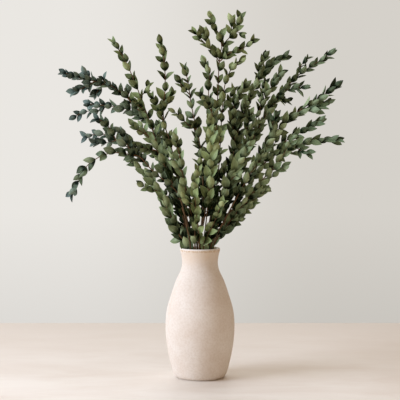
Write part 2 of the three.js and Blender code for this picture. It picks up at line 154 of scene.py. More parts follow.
@dataclass(frozen=True)
class StonewareFinish:
    """Unglazed, fired stoneware with fine sand in the clay, wiped smooth before firing.

    The eye gets a matt cream body with cloudy warm patches, a sandy grain, patchy painted tan
    shade on the neck under the lip, a broken tan line under the lip and a paler edge on the lip,
    partly where it was wiped and partly a painted highlight where its top catches the light.
    Each of those three begins and ends at a height in millimetres.
    """

    clay: str = "#ece4da"
    cloud: str = "#e4d8cb"
    sand: str = "#c8b59c"
    # Colour of the painted tan shade on the neck under the lip
    neck_shade: str = "#e9d6bf"
    line: str = "#cdb08c"
    # Paler edge on the lip: partly clay that was wiped paler, partly a painted highlight on its
    # top
    wiped: str = "#f6efe6"
    cloud_noise: Noise = Noise(45.0, detail=4.0, roughness=0.6)
    cloud_span: Pair = (0.35, 0.68)
    sand_noise: Noise = Noise(3.4, detail=2.0)
    sand_span: Pair = (0.4, 0.7)
    sand_strength: float = 0.26
    grain_noise: Noise = Noise(1.1)
    grain_depth: float = 0.25
    grain_strength: float = 0.5
    neck_shade_heights: Pair = (196.0, 226.0)
    neck_shade_strength: float = 0.75
    line_heights: Pair = (228.0, 231.0)
    line_breaks: Pair = (0.35, 0.6)
    wiped_and_lit_heights: Pair = (231.5, 233.5)
    roughness: float = 0.85
    specular: float = 0.3

    def material(self) -> bpy.types.Material:
        """Builds the stoneware material."""
        material, tree = new_material("stoneware, unglazed, fine sandy clay")
        place = add_node(tree, "ShaderNodeTexCoord").outputs["Object"]
        height = add_node(tree, "ShaderNodeSeparateXYZ", {0: place}).outputs["Z"]
        cloud, sand, grain = (
            add_node(
                tree, "ShaderNodeTexNoise",
                {
                    "Vector": place, "Scale": per_metre(noise.size),
                    "Detail": noise.detail, "Roughness": noise.roughness,
                },
            ).outputs["Fac"]
            for noise in (self.cloud_noise, self.sand_noise, self.grain_noise)
        )
        cloudy, sandy, broken = (
            add_node(
                tree, "ShaderNodeMapRange",
                {"Value": noise, "From Min": low, "From Max": high, "To Max": strength},
            ).outputs["Result"]
            for noise, (low, high), strength in (
                (cloud, self.cloud_span, 1.0),
                (sand, self.sand_span, self.sand_strength),
                (sand, self.line_breaks, 1.0),
            )
        )
        # Bands by height: painted tan shade on the neck, the tan line under the lip, and the lip's
        # paler edge with its painted highlight
        on_neck, under_lip, on_edge = (
            add_node(
                tree, "ShaderNodeMapRange",
                {"Value": height, "From Min": low * MM, "From Max": high * MM, "To Max": strength},
                interpolation_type=kind,
            ).outputs["Result"]
            for (low, high), strength, kind in (
                (self.neck_shade_heights, self.neck_shade_strength, "SMOOTHSTEP"),
                (self.line_heights, 1.0, "LINEAR"),
                (self.wiped_and_lit_heights, 1.0, "LINEAR"),
            )
        )
        patchy_neck_shade, along_line = (
            add_node(tree, "ShaderNodeMath", {0: a, 1: b}, operation="MULTIPLY").outputs[0]
            for a, b in ((on_neck, cloudy), (under_lip, broken))
        )
        colour = linear(self.clay)
        for share, next_colour in (
            (cloudy, self.cloud), (sandy, self.sand), (patchy_neck_shade, self.neck_shade),
            (along_line, self.line), (on_edge, self.wiped),
        ):
            colour = add_node(
                tree, "ShaderNodeMix", {0: share, MIX_A: colour, MIX_B: linear(next_colour)},
                data_type="RGBA",
            ).outputs[MIX_OUT]
        bump = add_node(
            tree, "ShaderNodeBump",
            {
                "Height": grain, "Strength": self.grain_strength,
                "Distance": self.grain_depth * MM,
            },
        ).outputs["Normal"]
        shader = add_node(
            tree, "ShaderNodeBsdfPrincipled",
            {
                "Base Color": colour,
                "Roughness": self.roughness,
                "Specular IOR Level": self.specular,
                "Normal": bump,
            },
        )
        add_node(tree, "ShaderNodeOutputMaterial", {"Surface": shader.outputs[0]})
        return material


@dataclass(frozen=True)
class LeafFinish:
    """One side of a preserved eucalyptus leaf: dyed, glycerine-soft and matt with a waxy bloom.

    The eye gets a colour that differs from leaf to leaf, painted shade at the base where the
    leaf is cupped round the stem, faint blotches, a paler midrib and side veins, a pale margin
    that is partly the leaf's own and partly a painted highlight along its edge, and a soft broad
    sheen. Leaves deep in the bunch are painted dark as shade and lose their sheen, and their
    veins fade. Spans of the leaf's own map are shares of its size.
    """

    name: str
    deep: str
    pale: str
    young_deep: str
    young_pale: str
    vein_and_margin_light: str
    roughness: float
    sheen: float = 0.34
    in_shade: float = 0.04
    blotch_noise: Noise = Noise(7.0)
    blotch_span: Pair = (0.3, 0.7)
    blotch_strength: float = 0.16
    base_end: float = 0.5
    base_shade: float = 0.85
    midrib: Pair = (0.015, 0.06)
    midrib_strength: float = 0.5
    margin: Pair = (0.38, 0.5)
    margin_strength: float = 0.55
    side_veins: float = 8.0
    vein_slant: float = 0.7
    vein_span: Pair = (0.7, 1.0)
    vein_strength: float = 0.16
    shaded_veins: float = 0.15
    relief: float = 0.25
    relief_strength: float = 0.6

    def material(self) -> bpy.types.Material:
        """Builds the material of this side of the leaf."""
        material, tree = new_material(self.name)
        place = add_node(tree, "ShaderNodeTexCoord").outputs["Object"]
        leaf_map = add_node(tree, "ShaderNodeUVMap", uv_map=Leaf.MAP_LAYER).outputs["UV"]
        across, along, _ = add_node(tree, "ShaderNodeSeparateXYZ", {0: leaf_map}).outputs
        tint, youth = (
            add_node(tree, "ShaderNodeAttribute", attribute_name=layer).outputs["Fac"]
            for layer in (Leaf.TINT_AND_SHADE_LAYER, Leaf.YOUTH_LAYER)
        )
        blotch = add_node(
            tree, "ShaderNodeTexNoise",
            {
                "Vector": place, "Scale": per_metre(self.blotch_noise.size),
                "Detail": self.blotch_noise.detail,
            },
        ).outputs["Fac"]
        # Painted shade darkens the base of each leaf, where it is cupped round the stem; the
        # blotches are the leaf's own
        at_base, shift = (
            add_node(
                tree, "ShaderNodeMapRange",
                {"Value": value, "From Min": low, "From Max": high, "To Min": a, "To Max": b},
            ).outputs["Result"]
            for value, (low, high), (a, b) in (
                (along, (0.0, self.base_end), (-self.base_shade, 0.0)),
                (blotch, self.blotch_span, (-self.blotch_strength, self.blotch_strength)),
            )
        )
        paler = add_node(
            tree, "ShaderNodeMath", {0: tint, 1: at_base}, operation="ADD",
        ).outputs[0]
        share = add_node(
            tree, "ShaderNodeMath", {0: paler, 1: shift}, operation="ADD", use_clamp=True,
        ).outputs[0]
        # Sheen and veins fade on dark leaves, most of all on those darkened by painted shade deep
        # in the bunch
        waxy, clear = (
            add_node(
                tree, "ShaderNodeMapRange", {"Value": share, "To Min": in_shade, "To Max": fresh},
            ).outputs["Result"]
            for in_shade, fresh in (
                (self.in_shade * self.sheen, self.sheen), (self.shaded_veins, 1.0),
            )
        )
        veins = self.veins(tree, across, along)
        drawn = add_node(
            tree, "ShaderNodeMath", {0: veins, 1: clear}, operation="MULTIPLY",
        ).outputs[0]
        grown, young = (
            add_node(
                tree, "ShaderNodeMix", {0: share, MIX_A: linear(deep), MIX_B: linear(pale)},
                data_type="RGBA",
            ).outputs[MIX_OUT]
            for deep, pale in ((self.deep, self.pale), (self.young_deep, self.young_pale))
        )
        colour = grown
        for part, next_colour in ((youth, young), (drawn, linear(self.vein_and_margin_light))):
            colour = add_node(
                tree, "ShaderNodeMix", {0: part, MIX_A: colour, MIX_B: next_colour},
                data_type="RGBA",
            ).outputs[MIX_OUT]
        bump = add_node(
            tree, "ShaderNodeBump",
            {"Height": veins, "Strength": self.relief_strength, "Distance": self.relief * MM},
        ).outputs["Normal"]
        shader = add_node(
            tree, "ShaderNodeBsdfPrincipled",
            {
                "Base Color": colour,
                "Roughness": self.roughness,
                "Specular IOR Level": waxy,
                "Normal": bump,
            },
        )
        add_node(tree, "ShaderNodeOutputMaterial", {"Surface": shader.outputs[0]})
        return material

    def veins(
        self, tree: bpy.types.NodeTree, across: bpy.types.NodeSocket, along: bpy.types.NodeSocket,
    ) -> bpy.types.NodeSocket:
        """Draws the midrib, the side veins and the pale margin, partly a painted highlight, from
        the leaf's own map.

        Args:
            tree: Node tree of the leaf's material.
            across: The map's share across the leaf.
            along: The map's share along the leaf.

        Returns:
            Output that is 0 between the veins and rises towards 1 on them.
        """
        offset = add_node(
            tree, "ShaderNodeMath", {0: across, 1: 0.5}, operation="SUBTRACT",
        ).outputs[0]
        aside = add_node(tree, "ShaderNodeMath", {0: offset}, operation="ABSOLUTE").outputs[0]
        slanted = add_node(
            tree, "ShaderNodeMath",
            {0: aside, 1: -self.vein_slant, 2: along}, operation="MULTIPLY_ADD",
        ).outputs[0]
        turns = add_node(
            tree, "ShaderNodeMath",
            {0: slanted, 1: self.side_veins * math.tau}, operation="MULTIPLY",
        ).outputs[0]
        wave = add_node(tree, "ShaderNodeMath", {0: turns}, operation="SINE").outputs[0]
        drawn, *others = (
            add_node(
                tree, "ShaderNodeMapRange",
                {"Value": value, "From Min": low, "From Max": high, "To Min": a, "To Max": b},
            ).outputs["Result"]
            for value, (low, high), (a, b) in (
                (aside, self.midrib, (self.midrib_strength, 0.0)),
                (wave, self.vein_span, (0.0, self.vein_strength)),
                # Pale margin: partly the leaf's own edge, partly a painted highlight along it
                (aside, self.margin, (0.0, self.margin_strength)),
            )
        )
        for other in others:
            drawn = add_node(
                tree, "ShaderNodeMath", {0: drawn, 1: other}, operation="MAXIMUM",
            ).outputs[0]
        return drawn


@dataclass(frozen=True)
class BarkFinish:
    """Thin smooth bark of young eucalyptus twigs: reddish brown with greyer streaks, matt."""

    red: str = "#6b4f32"
    grey: str = "#483924"
    streak_noise: Noise = Noise(5.0, detail=4.0)
    streak_stretch: float = 0.3
    streak_span: Pair = (0.38, 0.65)
    roughness: float = 0.7
    specular: float = 0.2
    relief: float = 0.3
    relief_strength: float = 0.5

    def material(self) -> bpy.types.Material:
        """Builds the bark material."""
        material, tree = new_material("eucalyptus twig bark, reddish brown")
        place = add_node(tree, "ShaderNodeTexCoord").outputs["Object"]
        stretched = add_node(
            tree, "ShaderNodeMapping",
            {"Vector": place, "Scale": (1.0, 1.0, self.streak_stretch)},
        ).outputs["Vector"]
        streak = add_node(
            tree, "ShaderNodeTexNoise",
            {
                "Vector": stretched, "Scale": per_metre(self.streak_noise.size),
                "Detail": self.streak_noise.detail,
            },
        ).outputs["Fac"]
        low, high = self.streak_span
        greyer = add_node(
            tree, "ShaderNodeMapRange", {"Value": streak, "From Min": low, "From Max": high},
        ).outputs["Result"]
        colour = add_node(
            tree, "ShaderNodeMix",
            {0: greyer, MIX_A: linear(self.red), MIX_B: linear(self.grey)}, data_type="RGBA",
        ).outputs[MIX_OUT]
        bump = add_node(
            tree, "ShaderNodeBump",
            {"Height": streak, "Strength": self.relief_strength, "Distance": self.relief * MM},
        ).outputs["Normal"]
        shader = add_node(
            tree, "ShaderNodeBsdfPrincipled",
            {
                "Base Color": colour,
                "Roughness": self.roughness,
                "Specular IOR Level": self.specular,
                "Normal": bump,
            },
        )
        add_node(tree, "ShaderNodeOutputMaterial", {"Surface": shader.outputs[0]})
        return material


@dataclass(frozen=True)
class TableFinish:
    """Honed pale limestone of the table: warm and matt.

    The eye gets faint bands that run along the table, and painted shade that darkens the stone
    towards the back.
    """

    pale: str = "#e8e4dd"
    warm: str = "#dcd4ca"
    in_shade: str = "#c6bfb6"
    shade_depths: Pair = (-150.0, 620.0)
    band_noise: Noise = Noise(110.0, detail=6.0, roughness=0.6)
    band_distortion: float = 0.4
    band_stretch: float = 0.45
    band_span: Pair = (0.38, 0.65)
    roughness: float = 0.6

    def material(self) -> bpy.types.Material:
        """Builds the table's material."""
        material, tree = new_material("limestone, honed, warm white")
        place = add_node(tree, "ShaderNodeTexCoord").outputs["Object"]
        depth = add_node(tree, "ShaderNodeSeparateXYZ", {0: place}).outputs["Y"]
        stretched = add_node(
            tree, "ShaderNodeMapping",
            {"Vector": place, "Scale": (self.band_stretch, 1.0, 1.0)},
        ).outputs["Vector"]
        band = add_node(
            tree, "ShaderNodeTexNoise",
            {
                "Vector": stretched, "Scale": per_metre(self.band_noise.size),
                "Detail": self.band_noise.detail, "Roughness": self.band_noise.roughness,
                "Distortion": self.band_distortion,
            },
        ).outputs["Fac"]
        low, high = self.band_span
        warmer = add_node(
            tree, "ShaderNodeMapRange", {"Value": band, "From Min": low, "From Max": high},
        ).outputs["Result"]
        # Painted shade: the stone darkens towards the back
        front, back = self.shade_depths
        shaded_back = add_node(
            tree, "ShaderNodeMapRange",
            {"Value": depth, "From Min": front * MM, "From Max": back * MM},
        ).outputs["Result"]
        colour = linear(self.pale)
        for share, next_colour in ((warmer, self.warm), (shaded_back, self.in_shade)):
            colour = add_node(
                tree, "ShaderNodeMix", {0: share, MIX_A: colour, MIX_B: linear(next_colour)},
                data_type="RGBA",
            ).outputs[MIX_OUT]
        shader = add_node(
            tree, "ShaderNodeBsdfPrincipled",
            {"Base Color": colour, "Roughness": self.roughness},
        )
        add_node(tree, "ShaderNodeOutputMaterial", {"Surface": shader.outputs[0]})
        return material


@dataclass(frozen=True)
class WallFinish:
    """Wall far behind the table, a glow of painted light: brighter on the side of the window,
    dimmer low down.
    """

    lit: str = "#eae7e2"
    far: str = "#d5d1ca"
    reach: float = 900.0
    dim_heights: Pair = (-850.0, -100.0)
    dimness: float = 0.88

    def material(self) -> bpy.types.Material:
        """Builds the wall's glow, from the lit side on -X to the far side on +X."""
        material, tree = new_material("wall paint, matt, warm grey")
        material.cycles.emission_sampling = "NONE"
        place = add_node(tree, "ShaderNodeTexCoord").outputs["Object"]
        aside, _, height = add_node(tree, "ShaderNodeSeparateXYZ", {0: place}).outputs
        share = add_node(
            tree, "ShaderNodeMapRange",
            {"Value": aside, "From Min": -self.reach * MM, "From Max": self.reach * MM},
            interpolation_type="SMOOTHSTEP",
        ).outputs["Result"]
        low, high = self.dim_heights
        glow = add_node(
            tree, "ShaderNodeMapRange",
            {
                "Value": height, "From Min": low * MM, "From Max": high * MM,
                "To Min": self.dimness, "To Max": 1.0,
            },
        ).outputs["Result"]
        colour = add_node(
            tree, "ShaderNodeMix",
            {0: share, MIX_A: linear(self.lit), MIX_B: linear(self.far)}, data_type="RGBA",
        ).outputs[MIX_OUT]
        shader = add_node(tree, "ShaderNodeEmission", {"Color": colour, "Strength": glow})
        add_node(tree, "ShaderNodeOutputMaterial", {"Surface": shader.outputs[0]})
        return material


class Tone(Enum):
    """Dye of a spray's leaves; its value names a slot of the record."""

    GREEN = "foliage_green"
    OLIVE = "foliage_olive"
    BLUE = "foliage_blue"


# Upper side and underside of the leaves of each tone, the second lighter and rougher; the
# first colour of each, the darkest, is also what painted shade deep in the bunch darkens a leaf
# towards
LEAF_FINISHES = {
    Tone.GREEN: (
        LeafFinish(
            "eucalyptus leaf, green, upper side",
            "#0b1206", "#889c6e", "#0d1810", "#657f5f", "#a4b388", 0.48,
        ),
        LeafFinish(
            "eucalyptus leaf, green, underside",
            "#18240f", "#9aa97a", "#1c2c1e", "#869e7e", "#aeba94", 0.62,
        ),
    ),
    Tone.OLIVE: (
        LeafFinish(
            "eucalyptus leaf, olive, upper side",
            "#101706", "#879962", "#101a0a", "#6e8556", "#a8b684", 0.48,
        ),
        LeafFinish(
            "eucalyptus leaf, olive, underside",
            "#202c12", "#a2ae78", "#202e18", "#90a074", "#b4be92", 0.62,
        ),
    ),
    Tone.BLUE: (
        LeafFinish(
            "eucalyptus leaf, blue green, upper side",
            "#0e1609", "#7a8e66", "#131d1a", "#647a72", "#90a096", 0.46,
        ),
        LeafFinish(
            "eucalyptus leaf, blue green, underside",
            "#1c2814", "#90a07a", "#202e2a", "#7c9085", "#a2b0a6", 0.6,
        ),
    ),
}


@dataclass(frozen=True)
class Leaf:
    """Cupped ovate leaf one unit long, from its root at the origin along +Y, upper side +Z."""

    width: float
    cup: float
    curl: float
    sway: float
    thickness: float = 0.045

    TINT_AND_SHADE_LAYER = "tint"
    YOUTH_LAYER = "youth"
    MAP_LAYER = "leaf"
    AROUND = 8
    CUP_POWER = 1.2
    TINY = 1e-4

    # Half outline, as [share of the length, share of the half width]
    OUTLINE = (
        (0.0, 0.0), (0.06, 0.32), (0.2, 0.74), (0.4, 0.99),
        (0.59, 0.94), (0.78, 0.6), (0.92, 0.22), (1.0, 0.0),
    )

    @classmethod
    def blank(cls) -> bmesh.types.BMesh:
        """Starts an empty mesh with the layers of the leaves."""
        bm = bmesh.new()
        bm.loops.layers.uv.new(cls.MAP_LAYER)
        for layer in (cls.TINT_AND_SHADE_LAYER, cls.YOUTH_LAYER):
            bm.verts.layers.float.new(layer)
        return bm

    def spot(self, share: float, spread: float, across: float, side: float) -> Vector:
        """Places one point of the leaf.

        Args:
            share: Share of the leaf's length.
            spread: Share of the half width that the outline has there.
            across: Place across the leaf, from -1 to 1.
            side: 1 on the upper side, -1 on the underside, 0 on the rim.

        Returns:
            The point, in units of the leaf's length.
        """
        x = across * spread * self.width / 2 + self.sway * share**2
        rise = self.cup * spread * abs(across) ** self.CUP_POWER
        body = side * self.thickness / 2 * math.sqrt(spread)
        return Vector((x, share, rise - self.curl * share**2 + body))

    def mesh(self) -> bpy.types.Mesh:
        """Shapes a coarse sphere into the leaf, with its map and its two sides."""
        bm = self.blank()
        leaf_map = bm.loops.layers.uv[self.MAP_LAYER]
        poles_along_y = Matrix.Rotation(-math.pi / 2, 4, "X")
        bmesh.ops.create_uvsphere(
            bm, u_segments=self.AROUND, v_segments=len(self.OUTLINE) - 1, radius=1,
            matrix=poles_along_y,
        )
        on_rim = {vert for vert in bm.verts if abs(vert.co.z) < self.TINY}
        for edge in bm.edges:
            edge.smooth = not on_rim.issuperset(edge.verts)
        for face in bm.faces:
            face.smooth = True
            face.material_index = 1 if face.calc_center_median().z > 0 else 2
        places = {vert: self.station(vert.co) for vert in bm.verts}
        for vert, (share, _, across, _) in places.items():
            for loop in vert.link_loops:
                loop[leaf_map].uv = ((across + 1) / 2, share)
        for vert, place in places.items():
            vert.co = self.spot(*place)
        bmesh.ops.recalc_face_normals(bm, faces=bm.faces)
        mesh = bpy.data.meshes.new("leaf")
        bm.to_mesh(mesh)
        bm.free()
        return mesh

    def station(self, co: Vector) -> tuple[float, float, float, float]:
        """Reads a point of the sphere as a share, spread, place across and side."""
        down = math.acos(max(-1.0, min(1.0, -co.y))) / math.pi
        share, spread = self.OUTLINE[round(down * (len(self.OUTLINE) - 1))]
        ring = math.hypot(co.x, co.z)
        if ring < self.TINY:
            return share, spread, 0.0, 0.0
        return share, spread, co.x / ring, co.z / ring


@dataclass(frozen=True)
class Wood:
    """Thickness of a kind of shoot, how finely it is drawn, and how much its last leaves add."""

    root_radius: float
    tip_radius: float
    sides: int = 6
    tip_reach: float = 16.0
    step: float = 5.4


STEM = Wood(root_radius=1.75, tip_radius=0.8, sides=8)
BRANCH = Wood(root_radius=1.15, tip_radius=0.6)
TWIG = Wood(root_radius=0.85, tip_radius=0.5, tip_reach=0.0)

# Straight pieces that each span of a smooth route is measured in
CURVE_PIECES = 16


def smooth_route(route: Sequence[Vector], step: float) -> list[Vector]:
    """Runs a smooth curve through the points of a route, rounder where they lie close.

    Args:
        route: Points that the curve passes, in order.
        step: Wanted spacing of the curve's own points.

    Returns:
        Points at an even spacing along the curve, both ends included.
    """
    knots = [2 * route[0] - route[1], *route, 2 * route[-1] - route[-2]]
    curve = [route[0]]
    for p0, p1, p2, p3 in zip(knots, knots[1:], knots[2:], knots[3:]):
        d0, d1, d2 = (math.sqrt((b - a).length) for a, b in ((p0, p1), (p1, p2), (p2, p3)))
        leaving = (p1 - p0) / d0 - (p2 - p0) / (d0 + d1) + (p2 - p1) / d1
        arriving = (p2 - p1) / d1 - (p3 - p1) / (d1 + d2) + (p3 - p2) / d2
        handles = p1 + leaving * d1 / 3, p2 - arriving * d1 / 3
        curve.extend(interpolate_bezier(p1, *handles, p2, CURVE_PIECES)[1:])
    lengths = [0.0]
    for a, b in zip(curve, curve[1:]):
        lengths.append(lengths[-1] + (b - a).length)
    pieces = max(2, round(lengths[-1] / step))
    even = []
    reached = 0
    for i in range(pieces + 1):
        wanted = lengths[-1] * i / pieces
        while reached < len(curve) - 2 and lengths[reached + 1] < wanted:
            reached += 1
        part = (wanted - lengths[reached]) / (lengths[reached + 1] - lengths[reached])
        even.append(curve[reached].lerp(curve[reached + 1], min(1.0, part)))
    return even


@dataclass
class Shoot:
    """Round tapering wood along a route that ends where its last leaves do."""

    wood: Wood
    route: list[Vector]
    points: list[Vector] = field(init=False)
    frames: list[Matrix] = field(init=False)
    length: float = field(init=False)

    def __post_init__(self) -> None:
        """Smooths the route and carries a frame along it without turning it about it."""
        whole = smooth_route(self.route, self.wood.step)
        self.points = whole[: len(whole) - round(self.wood.tip_reach / self.wood.step)]
        self.length = sum((b - a).length for a, b in zip(self.points, self.points[1:]))
        along = [(b - a).normalized() for a, b in zip(self.points, self.points[1:])]
        along.append(along[-1])
        frame_now = along[0].to_track_quat("Z", "X").to_matrix()
        self.frames = []
        for before, now in zip([along[0], *along], along):
            frame_now = before.rotation_difference(now).to_matrix() @ frame_now
            self.frames.append(frame_now.copy())

    def section(self, share: float) -> tuple[Matrix, float]:
        """Cuts the shoot.

        Args:
            share: Share of the length, from the root.

        Returns:
            Matrix that brings the origin to the middle of the wood there and +Z along it,
            and the wood's radius.
        """
        place = clamp(share) * (len(self.points) - 1)
        first = min(int(place), len(self.points) - 2)
        point = self.points[first].lerp(self.points[first + 1], place - first)
        radius = lerp(self.wood.root_radius, self.wood.tip_radius, share)
        return Matrix.Translation(point) @ self.frames[first].to_4x4(), radius

    def draw(self, bm: bmesh.types.BMesh) -> None:
        """Draws the wood as a closed round tube, ring by ring from its root."""
        pieces = len(self.points) - 1
        last, radius = self.section(0)
        circle = bmesh.ops.create_circle(
            bm, cap_ends=True, segments=self.wood.sides, radius=radius, matrix=last,
        )
        end = circle["verts"][0].link_faces[0]
        tube = [end]
        for i in range(1, pieces + 1):
            grown = bmesh.ops.extrude_face_region(bm, geom=[end])["geom"]
            verts = [part for part in grown if isinstance(part, bmesh.types.BMVert)]
            end = next(part for part in grown if isinstance(part, bmesh.types.BMFace))
            now, new_radius = self.section(i / pieces)
            taper = Matrix.Scale(new_radius / radius, 4)
            bmesh.ops.transform(bm, matrix=now @ taper @ last.inverted(), verts=verts)
            last, radius = now, new_radius
            tube.extend({face for vert in verts for face in vert.link_faces} - set(tube))
        for face in tube:
            face.smooth = len(face.verts) == 4
        bmesh.ops.recalc_face_normals(bm, faces=tube)

    def nearest(self, target: Vector) -> Vector:
        """Finds the point of the shoot that is nearest to a target."""
        return min(self.points, key=lambda point: (point - target).length)


class Clearance:
    """Keeps leaves clear of the wood of other shoots and apart from each other.

    It also tells how deep in the bunch a place is, by the wood that lies further out: the
    points of wood round a place to look out from, towards each side that is open to the eye.
    """

    # Room round wood, room between the middles of leaves as a share of their length, and the
    # size of the cells in which those middles are looked up
    WOOD_GAP = 2.6
    LEAF_GAP = 0.34
    CELL = 8.0

    # Shares of a leaf's length at which it is tested, and the height that it stays above
    SPINE = (0.45, 0.75, 1.0)
    HALFWAY = 0.5
    RIM_HEIGHT = 237.0

    # Middle of the bunch, and how far from it places count as deep
    HEART = Vector((0, 0, 300))
    CORE = 180.0

    # Distance and radius of the place to look out from, and the points of wood there that
    # mean the outside and the deepest inside
    LOOKOUT = 24
    LOOKOUT_RADIUS = 22
    FEW_POINTS, MANY_POINTS = 4, 26

    def __init__(self) -> None:
        """Starts with no wood and no leaves."""
        self.owners: list[Shoot] = []
        self.places: list[Vector] = []
        self.tree = KDTree(0)
        self.cells: dict[tuple[int, int, int], list[Vector]] = {}

    def add_wood(self, shoot: Shoot) -> None:
        """Notes the wood of a shoot, at points not more than its thickness apart."""
        for a, b in zip(shoot.points, shoot.points[1:]):
            count = max(1, math.ceil((b - a).length / self.WOOD_GAP))
            for i in range(count):
                self.places.append(a.lerp(b, i / count))
                self.owners.append(shoot)

    def settle_wood(self) -> None:
        """Sorts the wood noted so far, so that it can be searched."""
        self.tree = KDTree(len(self.places))
        for i, place in enumerate(self.places):
            self.tree.insert(place, i)
        self.tree.balance()

    def near_wood(self, point: Vector, gap: float, own: Sequence[Shoot]) -> bool:
        """Tells whether a point is nearer than a gap to wood that isn't one of its own."""
        return any(
            not any(self.owners[i] is shoot for shoot in own)
            for _, i, _ in self.tree.find_range(point, gap)
        )

    def depth(self, point: Vector) -> float:
        """Tells how deep in the bunch a point is, from 0 outside to 1 behind many shoots."""
        outward = Vector((point.x, point.y, 0)).normalized()
        ways_out = (outward, Vector((0, -1, 0)), Vector((0, 1, 0)))
        beyond = min(
            len(self.tree.find_range(point + self.LOOKOUT * way, self.LOOKOUT_RADIUS))
            for way in ways_out
        )
        inside = max(0.0, 1 - (point - self.HEART).length / self.CORE)
        few, many = self.FEW_POINTS, self.MANY_POINTS
        return clamp((beyond - few) / (many - few)) * inside

    def cell(self, point: Vector) -> tuple[int, int, int]:
        """Gives the cell of space that a point is in."""
        return tuple(math.floor(value / self.CELL) for value in point)

    def near_leaf(self, middle: Vector, gap: float) -> bool:
        """Tells whether another leaf's middle is nearer than a gap."""
        x, y, z = self.cell(middle)
        span = (-1, 0, 1)
        return any(
            (other - middle).length < gap
            for dx in span for dy in span for dz in span
            for other in self.cells.get((x + dx, y + dy, z + dz), ())
        )

    def allows(self, shoot: Shoot, place: Matrix, length: float) -> bool:
        """Tests a place for a leaf, and takes it if it is clear.

        Args:
            shoot: Shoot that the leaf grows on.
            place: Matrix of the leaf, from units of its length to the arrangement.
            length: Length of the leaf.

        Returns:
            Whether the place was clear.
        """
        spine = [place @ Vector((0, share, 0)) for share in self.SPINE]
        middle = place @ Vector((0, self.HALFWAY, 0))
        if min(point.z for point in spine) < self.RIM_HEIGHT:
            return False
        if self.near_leaf(middle, self.LEAF_GAP * length):
            return False
        if any(self.near_wood(point, self.WOOD_GAP, [shoot]) for point in spine):
            return False
        self.cells.setdefault(self.cell(middle), []).append(middle)
        return True


# Rings of stems in the neck, by their radius
OUTER, MIDDLE, INNER = 23.6, 14.0, 5.2


@dataclass(frozen=True)
class Habit:
    """How leaves and side shoots stand on the wood, in millimetres and degrees.

    Stems that stand within the outer ring are stripped of their leaves further up. Leaves that
    point to the front or to the back lie closer, as the sprays were pressed when they dried.
    Leaves and side shoots turn about the wood, and a leaf that has no room leans elsewhere.
    """

    tip_step: float = 9.5
    step: float = 15.0
    tip_leaf: float = 17.0
    leaf: float = 22.0
    grown_at: float = 60.0
    tip_pitch: float = 28.0
    pitch: float = 38.0
    size_spread: float = 0.1
    pitch_spread: float = 8.0
    twist_spread: float = 14.0
    facing: float = 0.6
    facing_spread: float = 0.35
    pressed: float = 0.3
    breadth: float = 1.0
    paleness: float = 0.54
    tint_spread: float = 0.34
    deepest: float = 0.33
    dimming: float = 1.9
    missing: float = 0.02
    first_leaf: float = 229.0
    stripped: float = 63.0
    branch_bare: float = 8.0
    young_until: float = 130.0
    reach: float = 190.0
    twig_every: float = 90.0
    twig_length: float = 44.0
    twig_pitch: float = 30.0
    twig_leaf: float = 0.75

    # How far further out and round the wood a leaf may lean, in degrees, the best first
    LEANINGS = (
        (0, 0), (-12, 0), (12, 0), (0, 26), (0, -26), (-10, 50), (-10, -50), (-6, 75), (-6, -75),
    )


OPEN = Habit(tip_step=10.5, step=18.0, tip_leaf=18.0, leaf=23.0, pitch=42.0, twig_every=400.0)
HIGH = replace(OPEN, first_leaf=285.0)
AIRY = Habit(
    tip_step=10.0, step=22.0, tip_leaf=18.5, leaf=23.0, pitch=42.0, paleness=0.5, twig_every=400.0,
)
# PLAIN and BROAD dress the front sprays; their leaves are paler partly as painted light on the
# front of the bunch
PLAIN = Habit(
    tip_step=9.5, step=18.5, leaf=26.0, grown_at=100.0, pitch=36.0, facing=0.8,
    facing_spread=0.25, pressed=0.7, paleness=1.05, tint_spread=0.4, first_leaf=246.0,
    twig_every=400.0,
)
BROAD = Habit(
    tip_step=10.0, step=17.0, leaf=26.0, facing=0.8, facing_spread=0.2, pressed=0.6,
    paleness=0.95, tint_spread=0.4, breadth=1.05, twig_every=400.0,
)
LOW = Habit(
    tip_step=9.5, step=13.0, tip_leaf=20.5, leaf=22.0, pitch=36.0, breadth=0.88, facing=0.8,
    facing_spread=0.2, pressed=0.6, paleness=0.66, deepest=0.22, first_leaf=305.0,
    twig_every=120.0,
)
LOWEST = replace(LOW, step=15.5, first_leaf=258.0, paleness=0.85)
DENSE = Habit(
    tip_step=9.0, step=10.5, tip_leaf=20.5, leaf=21.0, pitch=37.0, deepest=0.22, breadth=0.84,
    twig_every=80.0,
)
THICK = Habit(
    tip_step=9.0, step=10.5, tip_leaf=23.5, leaf=23.0, tip_pitch=25.0, pitch=36.0, deepest=0.22,
    breadth=0.88, twig_every=66.0,
)
SPARSE = Habit(
    tip_step=10.5, step=20.0, tip_leaf=16.5, leaf=23.0, pitch=38.0, facing=0.9,
    facing_spread=0.1, paleness=0.38, breadth=1.15, branch_bare=20.0, young_until=32.0,
)
FINE = Habit(
    tip_step=9.3, step=12.5, tip_leaf=16.5, leaf=20.0, tip_pitch=38.0, pitch=44.0,
    pitch_spread=5.0, twist_spread=9.0, facing_spread=0.2, breadth=1.12, twig_every=110.0,
    twig_length=30.0,
)


